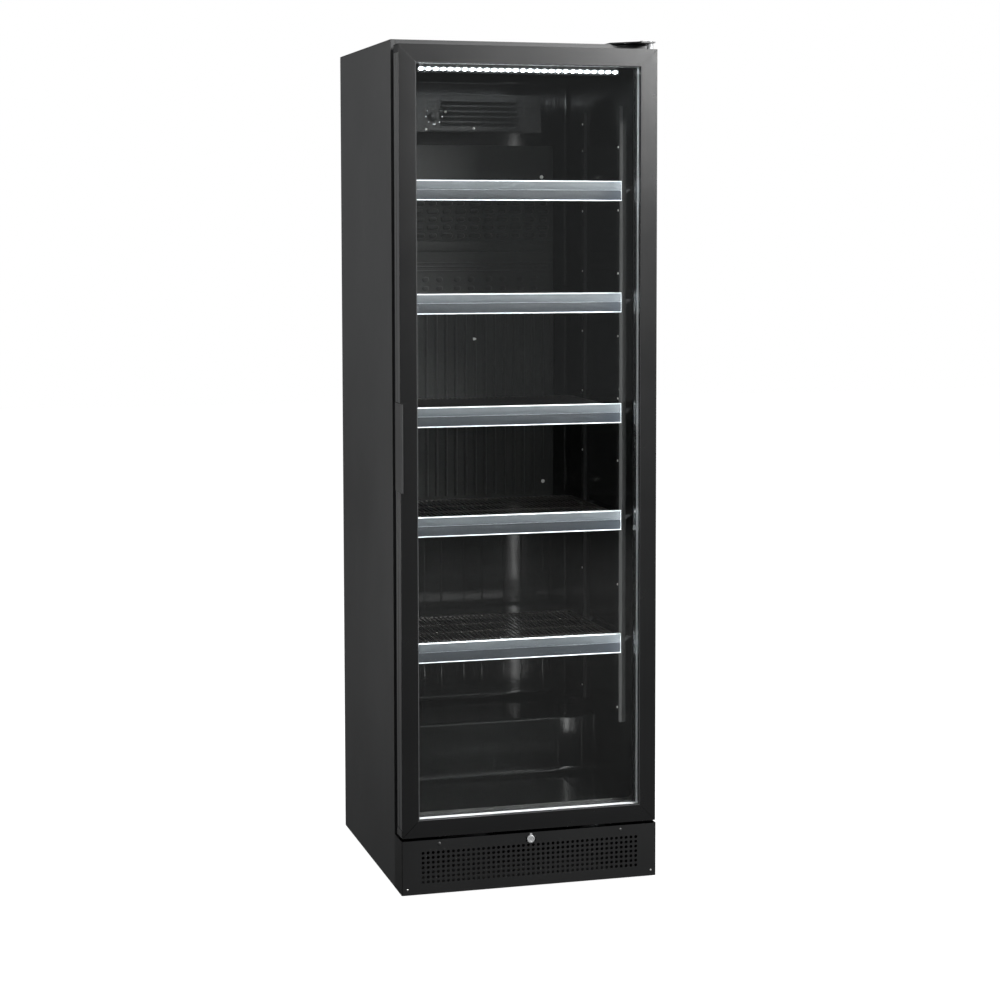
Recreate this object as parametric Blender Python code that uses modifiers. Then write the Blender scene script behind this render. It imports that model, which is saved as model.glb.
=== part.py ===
"""Upright glass door merchandiser: an insulated cabinet with one glazed door on its right-hand
hinges, five lift-off wire shelves, a roll-bond evaporator and a compressor room under a step.

Metres, +Z up. The front faces -Y, +X is to the right of someone who faces the door, and the
origin is on the floor, under the middle of the bounding box.
"""
import math

import bmesh
import bpy
from mathutils import Matrix, Vector

# ---------------------------------------------------------------- driving dimensions
WIDTH = 0.595
BODY_DEPTH = 0.640              # door front to back skin
BODY_HEIGHT = 1.892             # plinth's lower edge to the cabinet top
FOOT_HEIGHT = 0.008             # what the glides hold the plinth off the floor
GAP = 0.0003                    # between pieces that touch
SHEET = 0.0012                  # skins and plinth
RETURN = 0.010                  # folded front edge of a skin
FACE_PLATE = 0.0025             # steel ring that the seal closes on

WALL = 0.037                    # skin to liner, each side
BACK_WALL = 0.057
CEILING = 0.044
FLOOR_FOAM = 0.034
STEP_FOAM = 0.036
LINER = 0.002
FLOOR_OVER_PLINTH = 0.048       # liner floor above the plinth's upper edge
STEP_HEIGHT = 0.139             # compressor step above the liner floor
STEP_DEPTH = 0.245
LINER_CORNER = 0.020            # radius of the liner's rear upright corners

PLINTH_HEIGHT = 0.122
PLINTH_HOLE = 0.0062            # side of a hole
PLINTH_PITCH_X = 0.01157
PLINTH_PITCH_Z = 0.01095
PLINTH_MARGIN_X = 0.0487        # plinth end to the first row's centre
PLINTH_MARGIN_LOW = 0.0272
PLINTH_MARGIN_HIGH = 0.0290

DOOR_DEPTH = 0.052
SEAL_DEPTH = 0.020
DOOR_REVEAL = 0.002             # door edge inside the cabinet's side
DOOR_GAP_LOW = 0.0067
DOOR_GAP_HIGH = 0.0145
FRAME_FACE = 0.038
MITRE_GAP = 0.0005
GLASS = 0.004
GLASS_SPACE = 0.012
GLASS_SETBACK = 0.0095          # frame front to glazing groove
GLASS_CHANNEL = 0.012           # depth of the groove in the frame
GLASS_EDGE_ROOM = 0.001         # pane edge to groove bottom
SPACER_SIGHT = 0.0015           # spacer shown inside the frame
SEAL_INSET = 0.013
SEAL_WIDTH = 0.017

PIVOT_INSET = 0.0085            # hinge axis to the door's right edge
PIVOT_SETBACK = 0.026           # hinge axis behind the door's front
PIN_RADIUS = 0.004
PIN_DEPTH = 0.012
PIN_ROOM = 0.0005
HINGE_PLATE = 0.003
HINGE_REACH = 0.080             # plate's length from the axis to the left
HINGE_NOSE = 0.012              # plate in front of the axis
HINGE_TAIL = 0.045              # plate behind the cabinet's front edge
HINGE_TAPER = 0.025             # straight part of the nose left of the axis
PIN_HEAD = 0.0022
PIN_BOTTOM_HEAD = 0.002
PIN_CHAMFER = 0.001

HANDLE_LENGTH = 0.1955
HANDLE_RISE = 0.8703            # handle's middle above the door's lower edge
HANDLE_PROJECTION = 0.020
HANDLE_SHEET = 0.0015
HANDLE_WRAP = 0.046             # side leg behind the door's front
HANDLE_LEG = 0.0140             # front leg on the stile
HANDLE_BEAD = 0.0035

LOCK_RISE = 0.107               # lock axis above the plinth's lower edge
LOCK_FLANGE = 0.009
LOCK_BODY = 0.007
LOCK_PLUG = 0.005
LOCK_DEPTH = 0.018
LOCK_PROUD = 0.002              # flange in front of the plinth
LOCK_CHAMFER = 0.001
PLUG_RECESS = 0.0004            # plug face behind the flange face
KEYWAY_WIDTH = 0.0014
KEYWAY_HEIGHT = 0.007
KEYWAY_DEPTH = 0.004
LOCK_ROOM = 0.0003
CAM_REACH = 0.032
CAM_HALF_WIDTH = 0.006
CAM_SHEET = 0.003
CAM_ROOM = 0.002

PILASTER_DEPTH = 0.008
PILASTER_WIDTH = 0.020
PILASTER_SHEET = 0.0015
PILASTER_FRONT_IN = 0.080       # front pair's middle behind the cabinet front
PILASTER_REAR_IN = 0.359        # rear pair's middle behind the cabinet front
PILASTER_OVER_STEP = 0.020
PILASTER_UNDER_TOP = 0.090

SHELF_COUNT = 5
SHELF_FRONT_IN = 0.033          # shelf front behind the cabinet front
SHELF_DEPTH = 0.400
SHELF_SIDE_ROOM = 0.006         # shelf end to pilaster face
SHELF_SHEET = 0.006             # wire lattice thickness
SHELF_RIM = 0.008
WIRE = 0.0035
WIRE_PITCH = 0.0115
TOP_BAY = 0.272                 # ceiling to the top shelf
LOW_BAY = 0.3665                # liner floor to the lowest shelf
CLIP_STEP = 0.0065              # the clips' steps in the pilaster slots
CLIP_STEPS = (0, 1, 2, 4, 0)    # steps above even spacing, from the top shelf down

STRIP_HEIGHT = 0.045
STRIP_DEPTH = 0.009
STRIP_SHEET = 0.0015
STRIP_RISE = 0.010              # strip's upper edge above the shelf
STRIP_END_IN = 0.004            # strip end inside the shelf end

LED_WIDTH = 0.464
LED_BAND = 0.010
LED_SHEET = 0.0015
LED_RAIL_IN = 0.012             # light rail behind the cabinet front
LED_RAIL_DEPTH = 0.020
LED_RAIL_DROP = 0.0245
LED_RAIL_LIP = 0.008

PLATE_HALF_WIDTH = 0.217
PLATE_SHEET = 0.0025
PLATE_STANDOFF = 0.015
PLATE_DROP = 0.168              # ceiling to the plate's upper edge
PLATE_HEIGHT = 0.870

COVER_WIDTH = 0.336
COVER_DEPTH = 0.083
COVER_HEIGHT = 0.090
COVER_DROP = 0.049              # ceiling to the cover's top
COVER_SHEET = 0.002
LOUVRE_ROWS = 5
LOUVRE_SLOT = 0.006
LOUVRE_PITCH = 0.0125
LOUVRE_BANKS = ((-0.078, 0.018), (0.024, 0.103))
COLD_FAN_X = 0.020
COLD_FAN_RADIUS = 0.037
COLD_FAN_HUB = 0.012
COLD_FAN_CHORD = 0.012
COLD_FAN_IN = 0.018             # blades behind the cover's face
COLD_FAN_DEPTH = 0.012
COLD_MOTOR_IN = 0.043           # motor body behind the cover's face
COLD_MOTOR_RADIUS = 0.022
COLD_MOTOR_CHAMFER = 0.002
MOTOR_SHAFT = 0.0025
FAN_BLADES = 5
BLADE_PITCH = 35.0              # degrees
BLADE_SHEET = 0.0018
THERMOSTAT_HALF = 0.020
THERMOSTAT_DEPTH = 0.030
DIAL_X = -0.0984
DIAL_RISE = 0.038               # dial axis above the cover's lower edge
DIAL_RADIUS = 0.012
DIAL_ROOM = 0.0005              # dial clear of the cover
DIAL_CROWN = 0.0012             # bevel round the dial's face
DIAL_LENGTH = 0.013
SPINDLE_RADIUS = 0.003

TRAY_SHEET = 0.002
TRAY_FLANGE = 0.020
FOOT_IN_X = 0.0525              # foot axis inside the cabinet's side
FOOT_IN_Y = 0.048               # foot axis inside the cabinet's front and back
FOOT_RADIUS = 0.018
STUD_RADIUS = 0.004
STUD_HEIGHT = 0.040
STUD_ROOM = 0.0008

REAR_GRILLE_IN = 0.012          # grille plate inside the back skin
REAR_GRILLE_HEIGHT = 0.254
REAR_SLOT = 0.007
REAR_SLOT_PITCH = 0.018
REAR_SLOT_LENGTH = 0.200
REAR_SLOT_ROWS = 10
INLET_X = -0.215
INLET_RISE = 0.030
INLET_RADIUS = 0.011
INLET_NECK = 0.7                # neck in the panel, by the radius
INLET_IN = 0.008                # neck's length in front of the panel
INLET_LIP = 0.003

COMPRESSOR_X = -0.140
COMPRESSOR_RADIUS = 0.075
COMPRESSOR_HEIGHT = 0.175
COMPRESSOR_DOME = 0.55          # dome height and pedestal radius, by the radius
COMPRESSOR_SEAM = 0.004         # weld flange beyond the shell
COMPRESSOR_SEAM_AT = 0.33       # flange middle, by the height
COMPRESSOR_FOOT = 0.004
COMPRESSOR_FOOT_REACH = 1.05    # mounting disc, by the radius
MACHINE_MIDDLE_IN = 0.130       # compressor axis in front of the back skin
CONDENSER_X = 0.130
CONDENSER_WIDTH = 0.220
CONDENSER_HEIGHT = 0.186
CONDENSER_DEPTH = 0.045
CONDENSER_IN = 0.230            # condenser's front in front of the back skin
COIL_REAR_WALL = 0.010          # solid behind the fin channels
COIL_END = 0.008                # solid above and below them
COIL_SIDE = 0.012
FIN_PITCH = 0.011
FIN_SHEET = 0.003
SHROUD_DEPTH = 0.020
HOT_FAN_RADIUS = 0.070
HOT_FAN_HUB = 0.020
HOT_FAN_CHORD = 0.020
HOT_FAN_INSET = 0.002           # blades inside the shroud's faces
HOT_MOTOR_RADIUS = 0.032
HOT_MOTOR_LENGTH = 0.050
STRUT_WIDTH = 0.018
STRUT_SHEET = 0.003
STRUT_END_IN = 0.004
FAN_ROOM = 0.004
TRAY_WATER_DEPTH = 0.030
TRAY_WATER_WALL = 0.002
TRAY_OVER_COMPRESSOR = 0.006
PIPE_RADIUS = 0.003

# ---------------------------------------------------------------- planes that follow from them
HALF = WIDTH / 2
BASE = FOOT_HEIGHT
TOP = BASE + BODY_HEIGHT
DOOR_FRONT = (HANDLE_PROJECTION - BODY_DEPTH) / 2
DOOR_REAR = DOOR_FRONT + DOOR_DEPTH
CABINET_FRONT = DOOR_REAR + SEAL_DEPTH
BACK = DOOR_FRONT + BODY_DEPTH
PLINTH_TOP = BASE + PLINTH_HEIGHT
DOOR_LOW = PLINTH_TOP + DOOR_GAP_LOW
DOOR_TOP = TOP - DOOR_GAP_HIGH
DOOR_HALF = HALF - DOOR_REVEAL
PIVOT_X = DOOR_HALF - PIVOT_INSET
PIVOT_Y = DOOR_FRONT + PIVOT_SETBACK

LINER_X = HALF - WALL
LINER_BACK = BACK - BACK_WALL
LINER_TOP = TOP - CEILING
LINER_FLOOR = PLINTH_TOP + FLOOR_OVER_PLINTH
STEP_TOP = LINER_FLOOR + STEP_HEIGHT
STEP_FRONT = LINER_BACK - STEP_DEPTH
ROOM_LOW = LINER_FLOOR - FLOOR_FOAM         # foam's underside over the plinth
ROOM_HIGH = STEP_TOP - STEP_FOAM            # foam's underside over the compressor

PILASTER_FACE = LINER_X - PILASTER_DEPTH
SHELF_HALF = PILASTER_FACE - SHELF_SIDE_ROOM
SHELF_FRONT = CABINET_FRONT + SHELF_FRONT_IN
SHELF_REAR = SHELF_FRONT + SHELF_DEPTH
COVER_FRONT = LINER_BACK - COVER_DEPTH
COVER_TOP = LINER_TOP - COVER_DROP
COVER_LOW = COVER_TOP - COVER_HEIGHT
LOCK_Z = BASE + LOCK_RISE
TRAY_TOP = BASE + TRAY_SHEET

# ---------------------------------------------------------------- materials
FINISHES = {
    "black_paint": ((0.030, 0.031, 0.032), 0.42, 0.0),
    "black_plastic": ((0.020, 0.021, 0.022), 0.25, 0.0),
    "black_aluminium": ((0.045, 0.046, 0.048), 0.35, 0.6),
    "foam": ((0.80, 0.74, 0.55), 0.90, 0.0),
    "glass": ((0.90, 0.94, 0.93), 0.03, 0.0),
    "spacer_aluminium": ((0.70, 0.71, 0.72), 0.35, 1.0),
    "seal_rubber": ((0.025, 0.025, 0.026), 0.70, 0.0),
    "zinc_steel": ((0.55, 0.56, 0.57), 0.38, 1.0),
    "chrome": ((0.80, 0.80, 0.81), 0.10, 1.0),
    "strip_plastic": ((0.52, 0.57, 0.64), 0.30, 0.0),
    "light_white": ((0.95, 0.96, 1.00), 0.40, 0.0),
    "dark_coil": ((0.035, 0.036, 0.038), 0.40, 0.3),
    "copper": ((0.72, 0.38, 0.24), 0.30, 1.0),
    "grey_plastic": ((0.16, 0.16, 0.17), 0.45, 0.0),
}

AXIS_TURNS = {
    "X": Matrix(((0, 0, 1), (1, 0, 0), (0, 1, 0))),     # outline in Y and Z, swept along X
    "Y": Matrix(((1, 0, 0), (0, 0, -1), (0, 1, 0))),    # outline in X and Z, swept along Y
    "Z": Matrix.Identity(3),                            # outline in X and Y, swept along Z
}


def clear_scene():
    for old in list(bpy.data.objects):
        bpy.data.objects.remove(old, do_unlink=True)


def make_collection(name):
    collection = bpy.data.collections.new(name)
    bpy.context.scene.collection.children.link(collection)
    return collection


def make_materials():
    for name, (colour, roughness, metallic) in FINISHES.items():
        material = bpy.data.materials.new(name)
        material.use_nodes = True
        shader = material.node_tree.nodes["Principled BSDF"]
        shader.inputs["Base Color"].default_value = (*colour, 1.0)
        shader.inputs["Roughness"].default_value = roughness
        shader.inputs["Metallic"].default_value = metallic
        if name == "glass":
            shader.inputs["Transmission Weight"].default_value = 1.0
        if name == "light_white":
            shader.inputs["Emission Color"].default_value = (*colour, 1.0)
            shader.inputs["Emission Strength"].default_value = 4.0


clear_scene()
PARTS = make_collection("glass_door_merchandiser")
CUTTERS = make_collection("cutters")
make_materials()


# ---------------------------------------------------------------- modelling helpers
def tie(obj, parent):
    """Parent an object without moving it, so that its parent empty marks the joint's axis."""
    if parent is not None:
        obj.parent = parent
        obj.matrix_parent_inverse = Matrix.Translation(-parent.location)
    return obj


def axis_empty(name, place):
    empty = bpy.data.objects.new(name, None)
    empty.location = place
    empty.empty_display_size = 0.03
    PARTS.objects.link(empty)
    return empty


def add_object(name, data, finish, parent=None):
    """Link a new object to the parts, or to the cutters where it has no finish."""
    obj = bpy.data.objects.new(name, data)
    if finish is None:
        CUTTERS.objects.link(obj)
        obj.hide_render = True
        obj.display_type = "WIRE"
    else:
        PARTS.objects.link(obj)
        data.materials.append(bpy.data.materials[finish])
    return tie(obj, parent)


def mesh_from(shape, name):
    mesh = bpy.data.meshes.new(name)
    shape.to_mesh(mesh)
    shape.free()
    return mesh


def add_block(shape, x, y, z, turn=None):
    """Add a box between two x, two y and two z values to an open bmesh."""
    size = (x[1] - x[0], y[1] - y[0], z[1] - z[0])
    middle = Vector(((x[0] + x[1]) / 2, (y[0] + y[1]) / 2, (z[0] + z[1]) / 2))
    verts = bmesh.ops.create_cube(shape, size=1.0)["verts"]
    bmesh.ops.scale(shape, vec=size, verts=verts)
    if turn is not None:
        bmesh.ops.rotate(shape, cent=(0, 0, 0), matrix=turn, verts=verts)
    bmesh.ops.translate(shape, vec=middle, verts=verts)
    return verts


def blocks(name, finish, extents, parent=None):
    """One object from boxes given as (x, y, z) extents. Cutters may hold many loose boxes."""
    shape = bmesh.new()
    for x, y, z in extents:
        add_block(shape, x, y, z)
    return add_object(name, mesh_from(shape, name), finish, parent)


def block(name, finish, x, y, z, parent=None):
    return blocks(name, finish, [(x, y, z)], parent)


def rod(name, finish, radius, axis, span, centre, sides=24, parent=None):
    """Cylinder along an axis, from span[0] to span[1], through a point of the other two axes."""
    shape = bmesh.new()
    depth = span[1] - span[0]
    bmesh.ops.create_cone(shape, cap_ends=True, segments=sides, radius1=radius, radius2=radius,
                          depth=depth)
    obj = add_object(name, mesh_from(shape, name), finish, parent)
    obj.data.transform(AXIS_TURNS[axis].to_4x4())
    middle = (span[0] + span[1]) / 2
    obj.location = {"X": (middle, *centre), "Y": (centre[0], middle, centre[1]),
                    "Z": (*centre, middle)}[axis]
    smooth(obj)
    return obj


def smooth(obj):
    obj.data.shade_smooth()
    obj.data.set_sharp_from_angle(angle=math.radians(35))


def extrusion(name, finish, outline, axis, span, parent=None):
    """Closed flat outline swept along an axis, from span[0] to span[1]."""
    curve = bpy.data.curves.new(name, "CURVE")
    curve.dimensions = "2D"
    curve.fill_mode = "BOTH"
    curve.extrude = (span[1] - span[0]) / 2
    spline = curve.splines.new("POLY")
    spline.points.add(len(outline) - 1)
    for point, (u, v) in zip(spline.points, outline):
        point.co = (u, v, 0.0, 1.0)
    spline.use_cyclic_u = True
    guide = bpy.data.objects.new(name + "_outline", curve)
    CUTTERS.objects.link(guide)
    bpy.context.view_layer.update()
    evaluated = guide.evaluated_get(bpy.context.evaluated_depsgraph_get())
    shape = bmesh.new()
    shape.from_mesh(bpy.data.meshes.new_from_object(evaluated))
    bpy.data.objects.remove(guide, do_unlink=True)
    bmesh.ops.remove_doubles(shape, verts=shape.verts, dist=0.00001)
    middle = {"X": (1, 0, 0), "Y": (0, 1, 0), "Z": (0, 0, 1)}[axis]
    place = Matrix.Translation(Vector(middle) * (span[0] + span[1]) / 2)
    bmesh.ops.transform(shape, matrix=place @ AXIS_TURNS[axis].to_4x4(), verts=shape.verts)
    bmesh.ops.recalc_face_normals(shape, faces=shape.faces)
    return add_object(name, mesh_from(shape, name), finish, parent)


def turned(name, finish, profile, place, axis="Z", steps=24, closed=False, parent=None):
    """Profile of (radius, height) points, top to bottom down its outer side, spun by Screw."""
    shape = bmesh.new()
    verts = [shape.verts.new((radius, 0.0, height)) for radius, height in profile]
    for first, second in zip(verts, verts[1:]):
        shape.edges.new((first, second))
    if closed:
        shape.edges.new((verts[-1], verts[0]))
    obj = add_object(name, mesh_from(shape, name), finish, parent)
    obj.location = place
    if axis == "Y":
        obj.rotation_euler = (math.radians(90), 0.0, 0.0)
    screw = obj.modifiers.new("spin", "SCREW")
    screw.steps = steps
    screw.render_steps = steps
    screw.use_merge_vertices = True
    screw.merge_threshold = 0.00005
    screw.use_smooth_shade = True
    return obj


def boolean(obj, other, operation):
    modifier = obj.modifiers.new(other.name, "BOOLEAN")
    modifier.operation = operation
    modifier.object = other
    modifier.solver = "EXACT"
    return obj


def cut(obj, *cutters):
    for cutter in cutters:
        boolean(obj, cutter, "DIFFERENCE")
    return obj


def join(obj, *others):
    for other in others:
        boolean(obj, other, "UNION")
    return obj


def tube(name, finish, points, radius):
    curve = bpy.data.curves.new(name, "CURVE")
    curve.dimensions = "3D"
    curve.bevel_depth = radius
    curve.bevel_resolution = 2
    curve.use_fill_caps = True
    spline = curve.splines.new("POLY")
    spline.points.add(len(points) - 1)
    for point, place in zip(spline.points, points):
        point.co = (*place, 1.0)
    return add_object(name, curve, finish)


def smooth_route(corners, steps):
    """Points on a Catmull-Rom curve through the corners of a pipe's route."""
    ends = [corners[0]] + list(corners) + [corners[-1]]
    knots = [Vector(corner) for corner in ends]
    points = []
    for a, b, c, d in zip(knots, knots[1:], knots[2:], knots[3:]):
        for index in range(steps):
            t = index / steps
            points.append(0.5 * (2 * b + (c - a) * t + (2 * a - 5 * b + 4 * c - d) * t ** 2
                                 + (3 * b - a - 3 * c + d) * t ** 3))
    points.append(knots[-1])
    return points


def even_places(first, last, pitch):
    """Centres at the given pitch that fit between two limits, centred between them."""
    count = int((last - first) / pitch + 0.01) + 1
    start = (first + last - (count - 1) * pitch) / 2
    return [start + index * pitch for index in range(count)]


# ---------------------------------------------------------------- cabinet shell
def make_side_panels():
    for name, side in (("side_panel_left", -1), ("side_panel_right", 1)):
        outline = [
            (side * HALF, CABINET_FRONT),
            (side * (HALF - RETURN), CABINET_FRONT),
            (side * (HALF - RETURN), CABINET_FRONT + SHEET),
            (side * (HALF - SHEET), CABINET_FRONT + SHEET),
            (side * (HALF - SHEET), BACK),
            (side * HALF, BACK),
        ]
        extrusion(name, "black_paint", outline, "Z", (BASE, TOP - SHEET - GAP))


def make_top_panel():
    outline = [
        (CABINET_FRONT, TOP),
        (BACK, TOP),
        (BACK, TOP - SHEET),
        (CABINET_FRONT + SHEET, TOP - SHEET),
        (CABINET_FRONT + SHEET, TOP - RETURN),
        (CABINET_FRONT, TOP - RETURN),
    ]
    panel = extrusion("top_panel", "black_paint", outline, "X", (-HALF, HALF))
    lip_end = HALF - RETURN - GAP
    lip_y = (CABINET_FRONT - SHEET, CABINET_FRONT + 2 * SHEET)
    lip_z = (TOP - 2 * RETURN, TOP - SHEET)
    notches = blocks("top_panel_notches", None, [
        ((-WIDTH, -lip_end), lip_y, lip_z),
        ((lip_end, WIDTH), lip_y, lip_z),
    ])
    cut(panel, notches)


def make_back_panel():
    inner = HALF - SHEET - GAP
    block("back_panel", "black_paint", (-inner, inner), (BACK - SHEET, BACK),
          (BASE + REAR_GRILLE_HEIGHT + GAP, TOP - SHEET - GAP))


def interior_outline(grow, front):
    """Side view of the storage space, grown outwards by a wall."""
    return [
        (front, LINER_FLOOR - grow),
        (STEP_FRONT + grow, LINER_FLOOR - grow),
        (STEP_FRONT + grow, STEP_TOP - grow),
        (LINER_BACK + grow, STEP_TOP - grow),
        (LINER_BACK + grow, LINER_TOP + grow),
        (front, LINER_TOP + grow),
    ]


def interior_block(name, finish, grow, front):
    """Storage space as a solid, with its two rear upright edges rounded."""
    half = LINER_X + grow
    obj = extrusion(name, finish, interior_outline(grow, front), "X", (-half, half))
    shape = bmesh.new()
    shape.from_mesh(obj.data)
    bmesh.ops.dissolve_limit(shape, angle_limit=math.radians(1), verts=shape.verts,
                             edges=shape.edges)
    rear = LINER_BACK + grow - GAP
    edges = [edge for edge in shape.edges
             if all(vert.co.y > rear for vert in edge.verts)
             and abs(edge.verts[0].co.x - edge.verts[1].co.x) < GAP
             and len(edge.link_faces) == 2
             and edge.calc_face_angle(0.0) > 1.0]
    bmesh.ops.bevel(shape, geom=edges, offset=LINER_CORNER + grow, segments=4, profile=0.5,
                    affect="EDGES")
    shape.to_mesh(obj.data)
    shape.free()
    return obj


def make_liner_and_foam():
    beyond = CABINET_FRONT - WALL
    liner = interior_block("inner_liner", "black_plastic", LINER, CABINET_FRONT)
    cut(liner, interior_block("liner_space", None, 0.0, beyond))

    inner = HALF - SHEET - GAP
    front = CABINET_FRONT + FACE_PLATE + GAP
    outline = [
        (front, ROOM_LOW),
        (STEP_FRONT + STEP_FOAM, ROOM_LOW),
        (STEP_FRONT + STEP_FOAM, ROOM_HIGH),
        (BACK - SHEET - GAP, ROOM_HIGH),
        (BACK - SHEET - GAP, TOP - SHEET - GAP),
        (front, TOP - SHEET - GAP),
    ]
    foam = extrusion("insulation_foam", "foam", outline, "X", (-inner, inner))
    cut(foam, interior_block("foam_space", None, LINER + GAP, beyond))


def make_front_frame():
    outer = HALF - RETURN - GAP
    mouth = LINER_X + LINER + GAP
    y = (CABINET_FRONT, CABINET_FRONT + FACE_PLATE)
    low = DOOR_LOW - GAP * 5
    ring = block("front_frame", "black_paint", (-outer, outer), y, (low, TOP - RETURN - GAP))
    hole = block("front_frame_mouth", None, (-mouth, mouth), (y[0] - SHEET, y[1] + SHEET),
                 (LINER_FLOOR - LINER - GAP, LINER_TOP + LINER + GAP))
    cut(ring, hole)


def foot_places():
    x = HALF - FOOT_IN_X
    return [
        ("foot_front_left", -x, CABINET_FRONT + FOOT_IN_Y),
        ("foot_front_right", x, CABINET_FRONT + FOOT_IN_Y),
        ("foot_rear_left", -x, BACK - FOOT_IN_Y),
        ("foot_rear_right", x, BACK - FOOT_IN_Y),
    ]


def make_base():
    inner = HALF - SHEET - GAP
    outline = [
        (-inner, BASE), (inner, BASE), (inner, BASE + TRAY_FLANGE),
        (inner - TRAY_SHEET, BASE + TRAY_FLANGE), (inner - TRAY_SHEET, TRAY_TOP),
        (-inner + TRAY_SHEET, TRAY_TOP), (-inner + TRAY_SHEET, BASE + TRAY_FLANGE),
        (-inner, BASE + TRAY_FLANGE),
    ]
    span = (CABINET_FRONT + SHEET + GAP, BACK - REAR_GRILLE_IN - SHEET - GAP)
    tray = extrusion("base_tray", "zinc_steel", outline, "Y", span)
    for name, x, y in foot_places():
        cut(tray, rod(name + "_hole", None, STUD_RADIUS + STUD_ROOM, "Z",
                      (BASE - TRAY_SHEET, TRAY_TOP + TRAY_SHEET), (x, y), sides=12))
        axis = axis_empty(name + "_axis", (x, y, 0.0))
        pad = FOOT_HEIGHT - TRAY_SHEET
        profile = [
            (0.0, STUD_HEIGHT), (STUD_RADIUS, STUD_HEIGHT), (STUD_RADIUS, pad),
            (FOOT_RADIUS * 0.8, pad), (FOOT_RADIUS, pad * 0.4), (FOOT_RADIUS, 0.0), (0.0, 0.0),
        ]
        turned(name, "grey_plastic", profile, (x, y, 0.0), steps=16, parent=axis)


# ---------------------------------------------------------------- plinth and lock
def make_plinth():
    rear = CABINET_FRONT - GAP
    outline = [
        (-HALF, rear), (-HALF, DOOR_FRONT), (HALF, DOOR_FRONT), (HALF, rear),
        (HALF - SHEET, rear), (HALF - SHEET, DOOR_FRONT + SHEET),
        (-HALF + SHEET, DOOR_FRONT + SHEET), (-HALF + SHEET, rear),
    ]
    plinth = extrusion("plinth_grille", "black_paint", outline, "Z", (BASE, PLINTH_TOP))
    through = (DOOR_FRONT - SHEET, DOOR_FRONT + 2 * SHEET)
    hole = PLINTH_HOLE / 2
    columns = even_places(-HALF + PLINTH_MARGIN_X, HALF - PLINTH_MARGIN_X, PLINTH_PITCH_X)
    rows = even_places(BASE + PLINTH_MARGIN_LOW, PLINTH_TOP - PLINTH_MARGIN_HIGH, PLINTH_PITCH_Z)
    holes = [((x - hole, x + hole), through, (z - hole, z + hole)) for x in columns for z in rows]
    cut(plinth, blocks("plinth_holes", None, holes))
    cut(plinth, rod("lock_hole", None, LOCK_BODY + LOCK_ROOM, "Y", through, (0.0, LOCK_Z)))


def make_lock():
    front = DOOR_FRONT - LOCK_PROUD
    flange_rear = DOOR_FRONT - GAP
    rear = DOOR_FRONT + LOCK_DEPTH
    bore = LOCK_PLUG + LOCK_ROOM
    profile = [
        (bore, 0.0), (LOCK_FLANGE - LOCK_CHAMFER, 0.0),
        (LOCK_FLANGE, front - flange_rear + LOCK_CHAMFER),
        (LOCK_FLANGE, front - flange_rear), (LOCK_BODY, front - flange_rear),
        (LOCK_BODY, front - rear), (bore, front - rear),
    ]
    turned("lock_barrel", "chrome", profile, (0.0, front, LOCK_Z), axis="Y", closed=True)

    axis = axis_empty("lock_axis", (0.0, front, LOCK_Z))
    cam_front = rear + GAP
    plug_y = (front + PLUG_RECESS, cam_front + CAM_SHEET / 2)
    plug = rod("lock_plug", "chrome", LOCK_PLUG, "Y", plug_y, (0.0, LOCK_Z), parent=axis)
    cam = block("lock_cam", None, (-CAM_HALF_WIDTH, CAM_REACH), (cam_front, cam_front + CAM_SHEET),
                (LOCK_Z - CAM_HALF_WIDTH, LOCK_Z + CAM_HALF_WIDTH), parent=axis)
    join(plug, cam)
    keyway = block("lock_keyway", None, (-KEYWAY_WIDTH / 2, KEYWAY_WIDTH / 2),
                   (front - LOCK_PROUD, front + KEYWAY_DEPTH),
                   (LOCK_Z - KEYWAY_HEIGHT / 2, LOCK_Z + KEYWAY_HEIGHT / 2), parent=axis)
    cut(plug, keyway)


# ---------------------------------------------------------------- door
def frame_outline():
    """Frame section: distance in from the door's edge, and depth behind its front."""
    groove = FRAME_FACE - GLASS_CHANNEL
    groove_rear = GLASS_SETBACK + 2 * GLASS + GLASS_SPACE + 4 * GAP
    return [
        (0.0, 0.0), (FRAME_FACE, 0.0), (FRAME_FACE, GLASS_SETBACK), (groove, GLASS_SETBACK),
        (groove, groove_rear), (FRAME_FACE, groove_rear), (FRAME_FACE, DOOR_DEPTH),
        (0.0, DOOR_DEPTH),
    ]


def make_stile(name, side, door):
    outline = [(side * (DOOR_HALF - inset), DOOR_FRONT + depth)
               for inset, depth in frame_outline()]
    stile = extrusion(name, "black_aluminium", outline, "Z", (DOOR_LOW, DOOR_TOP), door)
    middle = (DOOR_LOW + DOOR_TOP) / 2
    for vert in stile.data.vertices:
        inset = DOOR_HALF - abs(vert.co.x) + MITRE_GAP
        if vert.co.z > middle:
            vert.co.z -= inset
        else:
            vert.co.z += inset
    return stile


def make_rail(name, edge, inward, door):
    """Rail with its outer edge at a height; inward is -1 below the top edge, 1 above the low."""
    outline = [(DOOR_FRONT + depth, edge + inward * inset) for inset, depth in frame_outline()]
    rail = extrusion(name, "black_aluminium", outline, "X", (-DOOR_HALF, DOOR_HALF), door)
    for vert in rail.data.vertices:
        inset = abs(vert.co.z - edge)
        vert.co.x = math.copysign(DOOR_HALF - inset, vert.co.x)
    return rail


def glass_ring(name, finish, edge, width, y, door):
    """Flat ring behind the frame: distance in from the door's edge, and its own width."""
    outer_x = DOOR_HALF - edge
    ring = block(name, finish, (-outer_x, outer_x), y, (DOOR_LOW + edge, DOOR_TOP - edge), door)
    inner = edge + width
    inner_x = DOOR_HALF - inner
    hole = block(name + "_hole", None, (-inner_x, inner_x), (y[0] - WALL, y[1] + WALL),
                 (DOOR_LOW + inner, DOOR_TOP - inner), door)
    return cut(ring, hole)


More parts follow.
